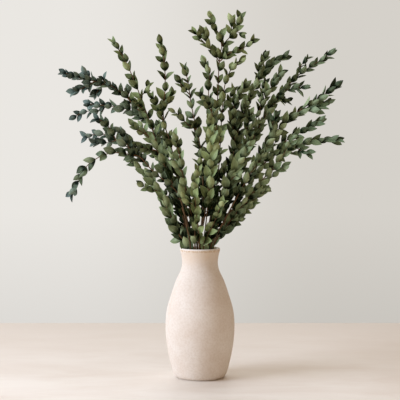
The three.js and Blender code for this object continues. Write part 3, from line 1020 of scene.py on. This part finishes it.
@dataclass
class Spray:
    """One leafy spray: its stem from the floor of the vase, its branches and its leaves."""

    name: str
    tone: Tone
    seat: Pair
    habit: Habit
    route: Sequence[Point]
    branches: Sequence[Sequence[Point]] = ()
    branch_habits: dict[int, Habit] = field(default_factory=dict)
    shoots: list[Shoot] = field(default_factory=list)

    # Stem inside the vase, as [share of its place in the neck, height]
    STEM_SPREAD = ((0.75, 8.4), (0.84, 75.0), (0.92, 140.0), (1.0, 205.0), (1.1, 242.0))

    # Side shoots: turn from one to the next, tries to find room, room that each needs, spread
    # of their lengths, least length and the stretch at the tip over which they shorten, and
    # how many spacings stay free at the tip and in all
    TWIG_TURN = math.radians(137.5)
    TWIG_TRIES = 8
    TWIG_ROOM = 5.0
    TWIG_SPREAD = (0.75, 1.15)
    TWIG_SHORTEST = 0.4
    TWIG_TAPER = 90
    TWIG_MARGINS = (0.9, 0.6)

    # Side shoot, as [share of its length, share of its pitch]
    TWIG_BEND = ((0.0, 0.0), (0.55, 1.0), (1.0, 0.72))

    # Leaves: distance of the last pair from the tip, stretch over which the pitch opens, room
    # that the first pair leaves to the bare wood, and spread of the steps and of the turns
    LAST_PAIR = 0.4
    OPENING = 40
    FIRST_PAIR = (0.1, 3.0)
    STEP_SPREAD = (0.85, 1.15)
    TURN_SPREAD = 0.15

    # The eye, in millimetres from a leaf, and the turn beyond which its underside is nearer
    EYE = (-120.0, 45.0)
    EYE_ASIDE = 0.2
    UNDERSIDE_FROM = math.radians(115)

    # Share of the wood's radius at which leaves are rooted
    ROOTED = 0.7

    def grow(self) -> None:
        """Grows the stem and the branches along their routes."""
        ring, degrees = self.seat
        angle = math.radians(degrees)
        inside = [
            Vector((share * ring * math.cos(angle), share * ring * math.sin(angle), height))
            for share, height in self.STEM_SPREAD
        ]
        self.shoots = [Shoot(STEM, inside + [Vector(point) for point in self.route])]
        for branch in self.branches:
            fork, *rest = (Vector(point) for point in branch)
            roots = [shoot.nearest(fork) for shoot in self.shoots]
            root = min(roots, key=lambda point: (point - fork).length)
            self.shoots.append(Shoot(BRANCH, [root, *rest]))

    def grow_twigs(self, clearance: Clearance, rng: random.Random) -> None:
        """Adds short side shoots round the leafy part of the stem, where there is room."""
        stem = self.shoots[0]
        leafy = stem.length * (1 - self.leafless_share(stem))
        count = int(leafy / self.habit.twig_every)
        turn = rng.uniform(0, math.tau)
        for i in range(count):
            back = leafy * (i + self.TWIG_MARGINS[0]) / (count + self.TWIG_MARGINS[1])
            turn += self.TWIG_TURN
            section, _ = stem.section(1 - back / stem.length)
            length = self.habit.twig_length * rng.uniform(*self.TWIG_SPREAD)
            length *= min(1, back / self.TWIG_TAPER + self.TWIG_SHORTEST)
            for more in range(self.TWIG_TRIES):
                route = self.twig_route(section, turn + more * math.tau / self.TWIG_TRIES, length)
                taken = (clearance.near_wood(p, self.TWIG_ROOM, self.shoots) for p in route[1:])
                if not any(taken):
                    self.shoots.append(Shoot(TWIG, route))
                    break

    def twig_route(self, section: Matrix, turn: float, length: float) -> list[Vector]:
        """Runs a side shoot out from a section of the stem and up beside it."""
        pitch = math.radians(self.habit.twig_pitch)
        reach = [(length * share, part * pitch) for share, part in self.TWIG_BEND]
        turned = section @ Matrix.Rotation(turn, 4, "Z")
        return [turned @ Vector((r * math.sin(lean), 0, r * math.cos(lean))) for r, lean in reach]

    def leafless_share(self, shoot: Shoot) -> float:
        """Gives the share of a shoot, from its root, that bears no leaves."""
        if shoot is self.shoots[0]:
            first_leaf = self.habit.first_leaf
            if self.seat[0] < OUTER:
                first_leaf += self.habit.stripped
            return sum(point.z < first_leaf for point in shoot.points) / len(shoot.points)
        return self.habit.branch_bare / shoot.length

    def leaf_places(
        self, shoot: Shoot, habit: Habit, rng: random.Random,
    ) -> Iterator[tuple[Matrix, float, float, float, float]]:
        """Goes down a shoot from its tip, with a pair of leaves at every step.

        Args:
            shoot: Shoot to dress.
            habit: How its leaves stand.
            rng: Source of the leaves' differences.

        Yields:
            Section of the wood turned to the leaf, the wood's radius, and the leaf's length,
            pitch and youth, from 1 at the tip to 0 on old wood.
        """
        leafy = shoot.length * (1 - self.leafless_share(shoot))
        back = self.LAST_PAIR
        rest, tight = self.FIRST_PAIR
        turn = rng.uniform(0, math.tau)
        while back < leafy:
            age = min(1.0, back / habit.grown_at)
            section, radius = shoot.section(1 - back / shoot.length)
            outer = math.hypot(*section.translation.xy) / habit.reach
            youth = max(0.0, 1 - back / habit.young_until) * clamp(2 * outer - 1)
            for side in (0, math.pi):
                length = lerp(habit.tip_leaf, habit.leaf, age) * rng.gauss(1, habit.size_spread)
                if shoot.wood is TWIG:
                    length *= habit.twig_leaf
                pitch = lerp(habit.tip_pitch, habit.pitch, min(1.0, back / self.OPENING))
                pitch += rng.gauss(0, habit.pitch_spread)
                if rng.random() > habit.missing:
                    turned = section @ Matrix.Rotation(turn + side, 4, "Z")
                    pitch *= 1 - habit.pressed * abs(turned.col[0].y)
                    yield turned, radius, length, pitch, youth
            step = lerp(habit.tip_step, habit.step, age) * rng.uniform(*self.STEP_SPREAD)
            back = leafy - rest if back < leafy - tight < back + step else back + step
            turn += math.pi / 2 + rng.gauss(0, self.TURN_SPREAD)

    def dress(
        self,
        bm: bmesh.types.BMesh,
        forms: Sequence[bpy.types.Mesh],
        clearance: Clearance,
        rng: random.Random,
    ) -> int:
        """Adds the leaves of every shoot.

        Args:
            bm: Mesh that holds the spray's wood.
            forms: Leaves of unit length to choose from.
            clearance: What is in the way.
            rng: Source of the leaves' differences.

        Returns:
            How many leaves were added.
        """
        tint_and_shade_layer = bm.verts.layers.float[Leaf.TINT_AND_SHADE_LAYER]
        youth_layer = bm.verts.layers.float[Leaf.YOUTH_LAYER]
        count = 0
        for number, shoot in enumerate(self.shoots):
            habit = self.branch_habits.get(number, self.habit)
            for section, radius, length, pitch, youth in self.leaf_places(shoot, habit, rng):
                twist = rng.gauss(0, habit.twist_spread)
                tint = max(habit.deepest, rng.gauss(habit.paleness, habit.tint_spread))
                # Leaves deep in the bunch are darkened here as painted shade
                tint = clamp(tint - habit.dimming * clearance.depth(section.translation))
                form = rng.choice(forms)
                for more, aside in habit.LEANINGS:
                    place = self.leaf_matrix(section, radius, length, pitch + more, aside)
                    facing = habit.facing + rng.uniform(-1, 1) * habit.facing_spread
                    turn = math.radians(twist) + facing * self.turn_to_front(place)
                    place @= Matrix.Rotation(turn, 4, "Y")
                    if clearance.allows(shoot, place, length):
                        old = len(bm.verts)
                        bm.from_mesh(form)
                        bm.verts.ensure_lookup_table()
                        verts = bm.verts[old:]
                        broad = Matrix.Scale(habit.breadth, 4, (1, 0, 0))
                        bmesh.ops.transform(bm, matrix=place @ broad, verts=verts)
                        for vert in verts:
                            vert[tint_and_shade_layer] = tint
                            vert[youth_layer] = youth
                        count += 1
                        break
        return count

    def turn_to_front(self, place: Matrix) -> float:
        """Finds how far a leaf turns about itself towards the side that it is seen from.

        Args:
            place: Matrix of the leaf before it turns.

        Returns:
            Angle in radians, to whichever of the leaf's sides is nearer.
        """
        seen_from = Vector((self.EYE_ASIDE * place.translation.x, *self.EYE))
        across, _, up = place.to_3x3().inverted() @ seen_from
        angle = math.atan2(across, up)
        if abs(angle) > self.UNDERSIDE_FROM:
            angle -= math.copysign(math.pi, angle)
        return angle

    def leaf_matrix(
        self, section: Matrix, radius: float, length: float, pitch: float, aside: float,
    ) -> Matrix:
        """Stands a leaf beside the wood.

        Args:
            section: Section of the wood, whose +X is the side that the leaf grows on.
            radius: Radius of the wood.
            length: Length of the leaf.
            pitch: Angle between the wood and the leaf, in degrees.
            aside: Further turn round the wood, in degrees.

        Returns:
            Matrix from a leaf of unit length to its place.
        """
        return (
            section
            @ Matrix.Rotation(math.radians(aside), 4, "Z")
            @ Matrix.Translation((radius * self.ROOTED, 0, 0))
            @ Matrix.Rotation(math.radians(pitch), 4, "Y")
            @ Matrix.Rotation(math.pi / 2, 4, "X")
            @ Matrix.Rotation(-math.pi / 2, 4, "Y")
            @ Matrix.Scale(length, 4)
        )


@dataclass(frozen=True)
class Vase:
    """Turned stoneware bottle vase with a flat foot, a narrow neck and a flared lip.

    Its section is drawn through points of [radius, height]. Those of the foot's edge are
    counted from the rim of the foot, those of the lip down from the top, and those of the
    inside corner up from the floor.
    """

    height: float = 235.0
    foot_radius: float = 42.6
    wall: float = 5.5
    floor: float = 8.0
    foot_edge: Sequence[Pair] = ((0.0, 0.0), (0.3, 1.6), (2.4, 2.2))
    side: Sequence[Pair] = (
        (46.4, 4.0), (49.0, 10.0), (54.5, 30.0), (60.2, 60.0), (62.6, 92.0), (60.2, 122.0),
        (52.6, 149.0), (43.4, 176.0), (35.0, 194.0), (32.3, 207.0), (33.6, 221.0), (36.2, 231.0),
    )
    lip: Sequence[Pair] = (
        (36.3, 2.2), (35.7, 0.7), (34.4, 0.0), (32.6, 0.3), (31.4, 1.6), (30.9, 4.0),
    )
    lip_depth: float = 6.0
    corner: Sequence[Pair] = ((39.0, 2.0), (36.0, 0.0))
    step: float = 3.5
    segments: int = 120
    weld: float = 0.01
    finish: StonewareFinish = StonewareFinish()

    def profile(self) -> list[Vector]:
        """Draws half of the vase's section, from the middle of the foot to that of the floor."""
        edge = [Vector((self.foot_radius + out, 0, up)) for out, up in self.foot_edge]
        side = smooth_route([Vector((radius, 0, z)) for radius, z in self.side], self.step)
        lip = [Vector((radius, 0, self.height - down)) for radius, down in self.lip]
        inner = [
            point - Vector((self.wall, 0, 0)) for point in reversed(side)
            if self.floor + self.wall < point.z < self.height - self.lip_depth
        ]
        corner = [Vector((radius, 0, self.floor + up)) for radius, up in self.corner]
        return [Vector(), *edge, *side, *lip, *inner, *corner, Vector((0, 0, self.floor))]

    def build(self) -> bpy.types.Object:
        """Spins the section into the vase and dresses it."""
        bm = bmesh.new()
        corners = [bm.verts.new(point) for point in self.profile()]
        edges = [bm.edges.new(pair) for pair in zip(corners, corners[1:])]
        bmesh.ops.spin(
            bm, geom=[*corners, *edges], cent=(0, 0, 0), axis=(0, 0, 1), dvec=(0, 0, 0),
            angle=math.tau, steps=self.segments, use_merge=True, use_duplicate=False,
        )
        bmesh.ops.remove_doubles(bm, verts=bm.verts, dist=self.weld)
        bmesh.ops.recalc_face_normals(bm, faces=bm.faces)
        for face in bm.faces:
            face.smooth = True
        return finished_piece("vase_stoneware", bm, [self.finish.material()])


def finished_piece(
    name: str, bm: bmesh.types.BMesh, materials: Sequence[bpy.types.Material],
) -> bpy.types.Object:
    """Turns a mesh in millimetres into an object in metres with its materials.

    Args:
        name: Name of the piece.
        bm: Its mesh, which is freed.
        materials: Its materials, in the order of the faces' numbers.

    Returns:
        The object, linked to the scene.
    """
    bmesh.ops.scale(bm, vec=(MM, MM, MM), verts=bm.verts)
    mesh = bpy.data.meshes.new(name)
    bm.to_mesh(mesh)
    bm.free()
    for material in materials:
        mesh.materials.append(material)
    piece = bpy.data.objects.new(name, mesh)
    bpy.context.scene.collection.objects.link(piece)
    return piece


# Every spray: its place in the neck as [ring, degrees from +X towards +Y], its habit, the route
# of its stem above the rim, and its branches, each from its fork to its tip
SPRAYS = (
    Spray("upper_left", Tone.BLUE, (OUTER, 158), FINE, (
        (-28, 14, 273), (-43, 17, 313), (-61, 22, 375), (-74, 28, 420), (-94, 34, 464),
        (-116, 38, 488), (-147, 38, 518), (-174, 34, 531), (-201, 28, 538), (-227, 24, 545),
        (-258, 20, 554),
    ), (
        ((-188, 31, 535), (-205, 38, 547), (-220, 44, 560)),
        ((-172, 34, 530), (-175, 28, 540), (-182, 22, 552)),
        ((-192, 30, 536), (-207, 18, 525), (-223, 10, 518), (-238, 5, 508)),
        ((-176, 34, 531), (-186, 22, 516), (-198, 16, 502)),
        ((-130, 38, 502), (-131, 42, 519), (-135, 46, 531)),
        ((-96, 34, 466), (-116, 48, 478), (-143, 58, 488), (-171, 64, 492), (-219, 64, 497)),
        ((-169, 64, 492), (-188, 74, 484), (-215, 80, 481), (-244, 78, 466)),
    )),
    Spray("left_tall", Tone.OLIVE, (MIDDLE, 158), OPEN, (
        (-24, -2, 271), (-37, 0, 312), (-53, 3, 361), (-75, 6, 415), (-93, 8, 469), (-114, 8, 525),
        (-135, 3, 573), (-160, -2, 613),
    ), (
        ((-96, 8, 478), (-105, -8, 487), (-127, -26, 509)),
        ((-107, 8, 507), (-95, 14, 521), (-91, 18, 538)),
    )),
    Spray("left_mid", Tone.BLUE, (OUTER, 228), replace(FINE, first_leaf=330.0), (
        (-22, -32, 270), (-40, -52, 337), (-81, -60, 374), (-104, -60, 399), (-125, -58, 416),
        (-148, -54, 430), (-168, -50, 440), (-189, -46, 439), (-213, -42, 433),
    ), (
        ((-145, -54, 428), (-161, -46, 425), (-179, -40, 426), (-199, -36, 423)),
        ((-145, -54, 428), (-158, -60, 451), (-170, -66, 463), (-192, -70, 468)),
        (
            (-108, -60, 402), (-128, -72, 406), (-152, -80, 408), (-174, -84, 401),
            (-196, -86, 385), (-212, -86, 356), (-228, -84, 325),
        ),
        ((-126, -58, 417), (-136, -50, 437), (-146, -44, 457)),
    ), branch_habits={2: replace(FINE, young_until=20.0), 3: SPARSE}),
    Spray("left_low", Tone.GREEN, (OUTER, 205), BROAD, (
        (-39, -12, 261), (-53, -16, 295), (-72, -20, 333), (-94, -22, 367), (-113, -22, 385),
        (-136, -20, 398),
    ), (
        ((-76, -20, 340), (-95, -30, 345), (-112, -38, 357)),
    )),
    Spray("left_inner", Tone.GREEN, (MIDDLE, 210), PLAIN, (
        (-22, -14, 279), (-38, -20, 323), (-58, -24, 373), (-77, -24, 412), (-93, -22, 437),
        (-111, -18, 465),
    ), (
        ((-93, -22, 436), (-111, -34, 449), (-126, -42, 467)),
        ((-77, -24, 412), (-106, -30, 417), (-123, -34, 426), (-141, -36, 437)),
    )),
    Spray("left_under", Tone.GREEN, (OUTER, 181), BROAD, (
        (-33, 6, 252), (-43, 13, 275), (-56, 17, 302), (-73, 20, 331),
    ), (
        ((-40, 11, 268), (-49, 2, 283), (-57, -6, 301)),
    )),
    Spray("tall_left", Tone.OLIVE, (INNER, 180), OPEN, (
        (-15, -4, 277), (-28, -6, 322), (-42, -8, 372), (-53, -10, 424), (-65, -12, 465),
        (-62, -12, 529), (-65, -10, 581), (-72, -10, 615),
    ), (
        ((-65, -12, 463), (-77, -22, 490), (-89, -30, 516)),
        ((-65, -12, 487), (-53, -2, 505), (-48, 4, 523)),
    )),
    Spray("centre_left", Tone.GREEN, (INNER, 270), OPEN, (
        (3, -10, 282), (6, -16, 326), (4, -20, 376), (-1, -20, 426), (-10, -18, 465),
        (-17, -16, 501), (-22, -14, 536), (-31, -14, 568),
    ), (
        ((-6, -19, 447), (-22, -30, 458), (-38, -38, 474), (-57, -44, 486)),
        ((-19, -16, 508), (-31, -24, 524), (-42, -30, 545)),
    )),
    Spray("tall_centre", Tone.OLIVE, (INNER, 20), AIRY, (
        (17, 6, 281), (23, 10, 330), (26, 14, 384), (30, 16, 447), (33, 14, 537), (35, 12, 570),
        (40, 12, 598), (57, 14, 618), (69, 16, 638), (75, 18, 661),
    ), (
        ((40, 12, 597), (35, 6, 618), (24, 2, 635), (15, 0, 662)),
        ((34, 12, 568), (19, 4, 592), (1, -2, 610), (-17, -6, 629)),
        ((12, 1, 601), (8, 8, 616), (4, 12, 634)),
        ((34, 12, 570), (53, 2, 585), (78, -6, 594), (102, -12, 613)),
        ((53, 14, 615), (57, 24, 633), (55, 30, 657)),
        ((62, 15, 625), (74, 6, 621), (85, 0, 621)),
    )),
    Spray("centre_mid", Tone.GREEN, (MIDDLE, 253), OPEN, (
        (6, -28, 280), (12, -36, 327), (17, -40, 380), (22, -42, 430), (22, -42, 472),
        (15, -40, 509), (17, -38, 542), (3, -36, 578),
    ), (
        ((20, -42, 479), (6, -54, 503), (-4, -60, 521)),
    )),
    Spray("centre_right", Tone.OLIVE, (MIDDLE, 62), OPEN, (
        (19, 30, 274), (27, 38, 319), (34, 44, 374), (38, 48, 438), (41, 50, 491), (47, 50, 535),
        (61, 48, 564), (85, 46, 581),
    ), (
        ((39, 50, 480), (56, 58, 506), (64, 64, 532)),
    )),
    Spray("right_tall", Tone.GREEN, (MIDDLE, 18), THICK, (
        (30, 12, 277), (45, 20, 328), (57, 28, 384), (70, 34, 447), (83, 36, 491), (103, 36, 531),
        (128, 34, 564), (162, 30, 585),
    ), (
        ((63, 32, 418), (59, 20, 465), (66, 12, 505), (87, 6, 535)),
    )),
    Spray("right_upper", Tone.GREEN, (MIDDLE, 335), DENSE, (
        (31, -10, 275), (49, -14, 329), (69, -14, 387), (90, -12, 444), (108, -10, 487),
        (126, -8, 522), (151, -6, 560),
    ), (
        ((83, -12, 426), (84, -24, 458), (91, -34, 486)),
    )),
    Spray("right_long", Tone.GREEN, (OUTER, 61), DENSE, (
        (34, 24, 280), (60, 44, 334), (80, 56, 385), (103, 64, 440), (130, 68, 488),
        (156, 70, 521), (186, 68, 552), (215, 66, 571), (247, 62, 594),
    ), (
        ((154, 70, 519), (178, 60, 525), (201, 54, 526)),
        ((143, 69, 505), (159, 82, 501), (174, 88, 499)),
    )),
    Spray("right_spread", Tone.GREEN, (OUTER, 322), replace(THICK, first_leaf=325.0), (
        (35, -26, 271), (61, -36, 320), (89, -44, 372), (115, -48, 419), (143, -48, 454),
        (177, -46, 483), (212, -42, 505), (246, -38, 530),
    ), (
        ((177, -46, 483), (199, -56, 484), (219, -62, 489)),
        ((124, -48, 432), (127, -58, 458), (133, -64, 479)),
    )),
    Spray("right_mid", Tone.GREEN, (OUTER, 12), LOW, (
        (41, 6, 274), (70, 12, 321), (99, 16, 364), (128, 18, 399), (157, 18, 429), (189, 18, 447),
        (225, 18, 471),
    ), (
        ((131, 18, 402), (161, 28, 406), (184, 36, 405)),
    )),
    Spray("right_low", Tone.GREEN, (OUTER, 346), LOWEST, (
        (40, -16, 265), (69, -28, 305), (97, -36, 341), (125, -42, 377), (152, -46, 407),
        (184, -48, 425), (217, -50, 430), (252, -52, 430),
    ), (
        ((166, -47, 416), (183, -54, 409), (201, -58, 405)),
        ((125, -42, 377), (142, -52, 381), (155, -58, 390)),
    )),
    # Its leaves are made paler as painted light, though those in front shade them
    Spray("right_under", Tone.GREEN, (OUTER, 37), replace(BROAD, step=15.5, paleness=1.1), (
        (37, 17, 258), (63, 26, 285), (85, 31, 316), (111, 34, 345), (145, 36, 372),
    ), (
        ((67, 27, 289), (86, 18, 304), (106, 14, 322)),
        ((50, 21, 270), (66, 12, 281), (84, 6, 288)),
        ((107, 34, 341), (119, 44, 339), (132, 50, 341)),
    )),
    Spray("front_left", Tone.GREEN, (OUTER, 249), PLAIN, (
        (-10, -40, 274), (-20, -54, 318), (-29, -65, 364), (-37, -72, 410), (-47, -75, 451),
    ), (
        ((-30, -66, 372), (-48, -65, 399), (-62, -63, 416)),
    )),
    Spray("front_centre", Tone.OLIVE, (MIDDLE, 292), PLAIN, (
        (10, -42, 278), (15, -57, 333), (18, -68, 382), (18, -74, 430), (16, -75, 478),
    ), (
        ((18, -71, 398), (34, -73, 427), (39, -73, 451)),
    )),
    Spray("front_right", Tone.GREEN, (OUTER, 303), BROAD, (
        (22, -42, 273), (38, -58, 319), (54, -70, 365), (73, -76, 400), (91, -79, 430),
    ), (
        ((51, -68, 358), (63, -77, 369), (76, -83, 376)),
    )),
    Spray("front_low", Tone.OLIVE, (OUTER, 267), PLAIN, (
        (-2, -43, 264), (-6, -65, 300), (-9, -83, 332), (-6, -96, 365), (1, -105, 401),
    ), (
        ((-8, -73, 314), (-23, -77, 324), (-33, -79, 341)),
    )),
    Spray("front_drop", Tone.OLIVE, (OUTER, 285), PLAIN, (
        (13, -44, 261), (25, -65, 286), (33, -83, 308), (45, -96, 333),
    )),
    Spray("back_left", Tone.GREEN, (OUTER, 134), HIGH, (
        (-21, 38, 273), (-36, 70, 321), (-55, 96, 376), (-69, 112, 425), (-82, 120, 470),
    ), (
        ((-51, 92, 366), (-74, 92, 387), (-93, 90, 410)),
    )),
    Spray("back_centre", Tone.GREEN, (MIDDLE, 105), HIGH, (
        (5, 42, 278), (10, 78, 326), (18, 104, 381), (24, 118, 438), (27, 124, 496),
    ), (
        ((20, 107, 391), (-3, 112, 417), (-10, 114, 447)),
    )),
    Spray("back_right", Tone.GREEN, (OUTER, 85), HIGH, (
        (23, 42, 275), (44, 74, 325), (67, 100, 376), (92, 116, 425), (118, 122, 470),
    ), (
        ((63, 97, 368), (72, 94, 410), (79, 90, 444)),
    )),
    Spray("back_low", Tone.GREEN, (OUTER, 110), HIGH, (
        (-7, 46, 263), (-4, 92, 298), (1, 128, 333), (1, 156, 370),
    ), (
        ((-1, 112, 316), (-20, 122, 330), (-35, 128, 352)),
        ((0, 118, 322), (20, 124, 333), (35, 130, 356)),
    )),
)


@dataclass(frozen=True)
class Foliage:
    """All sprays of the arrangement."""

    sprays: Sequence[Spray] = SPRAYS
    leaf_forms: int = 10
    widths: Pair = (0.45, 0.57)
    cups: Pair = (0.06, 0.18)
    curls: Pair = (-0.16, 0.08)
    sways: Pair = (-0.06, 0.06)

    def forms(self, rng: random.Random) -> list[bpy.types.Mesh]:
        """Shapes a handful of leaves that differ in cup, curl, sway and width."""
        spans = (self.widths, self.cups, self.curls, self.sways)
        return [
            Leaf(*(rng.uniform(*span) for span in spans)).mesh() for _ in range(self.leaf_forms)
        ]

    def build(self) -> Iterator[tuple[Spray, bpy.types.Object, int]]:
        """Grows all wood first and then dresses one spray after another.

        Yields:
            Each spray, its finished piece, and how many leaves it bears.
        """
        clearance = Clearance()
        for spray in self.sprays:
            spray.grow()
            for shoot in spray.shoots:
                clearance.add_wood(shoot)
        clearance.settle_wood()
        for spray in self.sprays:
            before = len(spray.shoots)
            spray.grow_twigs(clearance, random.Random(f"twigs of {spray.name}"))
            for shoot in spray.shoots[before:]:
                clearance.add_wood(shoot)
            clearance.settle_wood()
        forms = self.forms(random.Random("leaf forms"))
        bark = BarkFinish().material()
        sides = {
            tone: [finish.material() for finish in pair] for tone, pair in LEAF_FINISHES.items()
        }
        for spray in self.sprays:
            bm = Leaf.blank()
            for shoot in spray.shoots:
                shoot.draw(bm)
            count = spray.dress(bm, forms, clearance, random.Random(f"leaves of {spray.name}"))
            piece = finished_piece(f"leafy_{spray.name}", bm, [bark, *sides[spray.tone]])
            yield spray, piece, count
        for form in forms:
            bpy.data.meshes.remove(form)


@dataclass(frozen=True)
class Lamp:
    """Soft area light: its place and aim in metres, its two sizes, power and colour."""

    name: str
    place: Point
    aim: Point
    size: Pair
    power: float
    colour: str

    def light(self) -> None:
        """Hangs the lamp, unseen by the camera."""
        data = bpy.data.lights.new(self.name, "AREA")
        data.shape = "RECTANGLE"
        data.size, data.size_y = self.size
        data.energy = self.power
        data.color = linear(self.colour)[:3]
        lamp = bpy.data.objects.new(self.name, data)
        lamp.location = self.place
        beam = Vector(self.aim) - Vector(self.place)
        lamp.rotation_euler = beam.to_track_quat("-Z", "Y").to_euler()
        lamp.visible_camera = False
        bpy.context.scene.collection.objects.link(lamp)


@dataclass(frozen=True)
class Studio:
    """Table, wall and light, as on a stone table beside a window, in metres."""

    table_front: float = -2.4
    table_back: float = 0.62
    table_half_width: float = 1.9
    wall_radius: float = 6.0
    wall_height: float = 9.0
    wall_segments: int = 64
    room_light: str = "#ffe0c0"
    room_strength: float = 0.4
    lamps: Sequence[Lamp] = (
        Lamp("window", (-2.0, -0.85, 1.25), (0.0, 0.0, 0.3), (1.4, 1.4), 58.0, "#e0ebff"),
        Lamp("wall_bounce", (-0.3, 1.6, 0.9), (0.0, 0.0, 0.35), (2.6, 1.8), 17.5, "#ffffff"),
        Lamp("ceiling", (-0.3, -0.1, 2.2), (0.0, 0.0, 0.3), (1.8, 1.8), 12.0, "#ffffff"),
    )

    def build(self) -> None:
        """Builds the table, the wall and the lights."""
        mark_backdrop(self.table(), self.wall())
        for lamp in self.lamps:
            lamp.light()
        world = bpy.data.worlds.new("room")
        world.use_nodes = True
        world.node_tree.nodes.clear()
        glow = add_node(
            world.node_tree, "ShaderNodeBackground",
            {"Color": linear(self.room_light), "Strength": self.room_strength},
        )
        add_node(world.node_tree, "ShaderNodeOutputWorld", {"Surface": glow.outputs[0]})
        bpy.context.scene.world = world

    def table(self) -> bpy.types.Object:
        """Lays the table top at the height of the vase's foot."""
        bm = bmesh.new()
        bmesh.ops.create_grid(bm, x_segments=1, y_segments=1, size=1 / MM)
        depth = self.table_back - self.table_front
        bmesh.ops.scale(bm, vec=(self.table_half_width, depth / 2, 1), verts=bm.verts)
        middle = (self.table_back + self.table_front) / 2
        bmesh.ops.translate(bm, vec=(0, middle / MM, 0), verts=bm.verts)
        return finished_piece("table", bm, [TableFinish().material()])

    def wall(self) -> bpy.types.Object:
        """Puts up a round wall that only the camera sees, so that it takes no light away."""
        bm = bmesh.new()
        bmesh.ops.create_cone(
            bm, cap_ends=True, segments=self.wall_segments, radius1=self.wall_radius / MM,
            radius2=self.wall_radius / MM, depth=self.wall_height / MM,
        )
        for face in bm.faces:
            face.smooth = len(face.verts) == 4
        wall = finished_piece("wall", bm, [WallFinish().material()])
        wall.visible_diffuse = False
        wall.visible_glossy = False
        wall.visible_transmission = False
        wall.visible_shadow = False
        return wall


@dataclass(frozen=True)
class Viewpoint:
    """Camera of the photograph, in metres and degrees: low, far away and a little tipped."""

    place: Point = (0.0, -2.23, 0.45)
    tip: float = 3.3
    lens: float = 111.5

    def build(self) -> None:
        """Sets up the camera, with everything in focus."""
        data = bpy.data.cameras.new("camera")
        data.lens = self.lens
        data.dof.use_dof = False
        camera = bpy.data.objects.new("camera", data)
        camera.location = self.place
        camera.rotation_euler = Euler((math.radians(90 - self.tip), 0, 0))
        bpy.context.scene.collection.objects.link(camera)
        bpy.context.scene.camera = camera


def main() -> None:
    """Builds the vase, the sprays, the studio and the camera, and reports each piece."""
    logging.basicConfig(level=logging.INFO, format="%(name)s: %(message)s")
    bpy.context.scene.view_settings.view_transform = "Standard"
    vase = Vase().build()
    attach(vase, BODY)
    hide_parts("vase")
    LOG.info("%s: %d faces", vase.name, len(vase.data.polygons))
    leaves = 0
    for spray, piece, count in Foliage().build():
        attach(piece, BODY)
        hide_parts(f"spray_{spray.name}")
        leaves += count
        LOG.info("%s: %d leaves, %d faces", piece.name, count, len(piece.data.polygons))
    LOG.info("%d leaves in all", leaves)
    Studio().build()
    Viewpoint().build()
    boxes = {"cad": CAD_BOX, "visual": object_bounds()}
    sizes = {name: [list(corner) for corner in box] for name, box in boxes.items()}


if __name__ == "__main__":
    main()
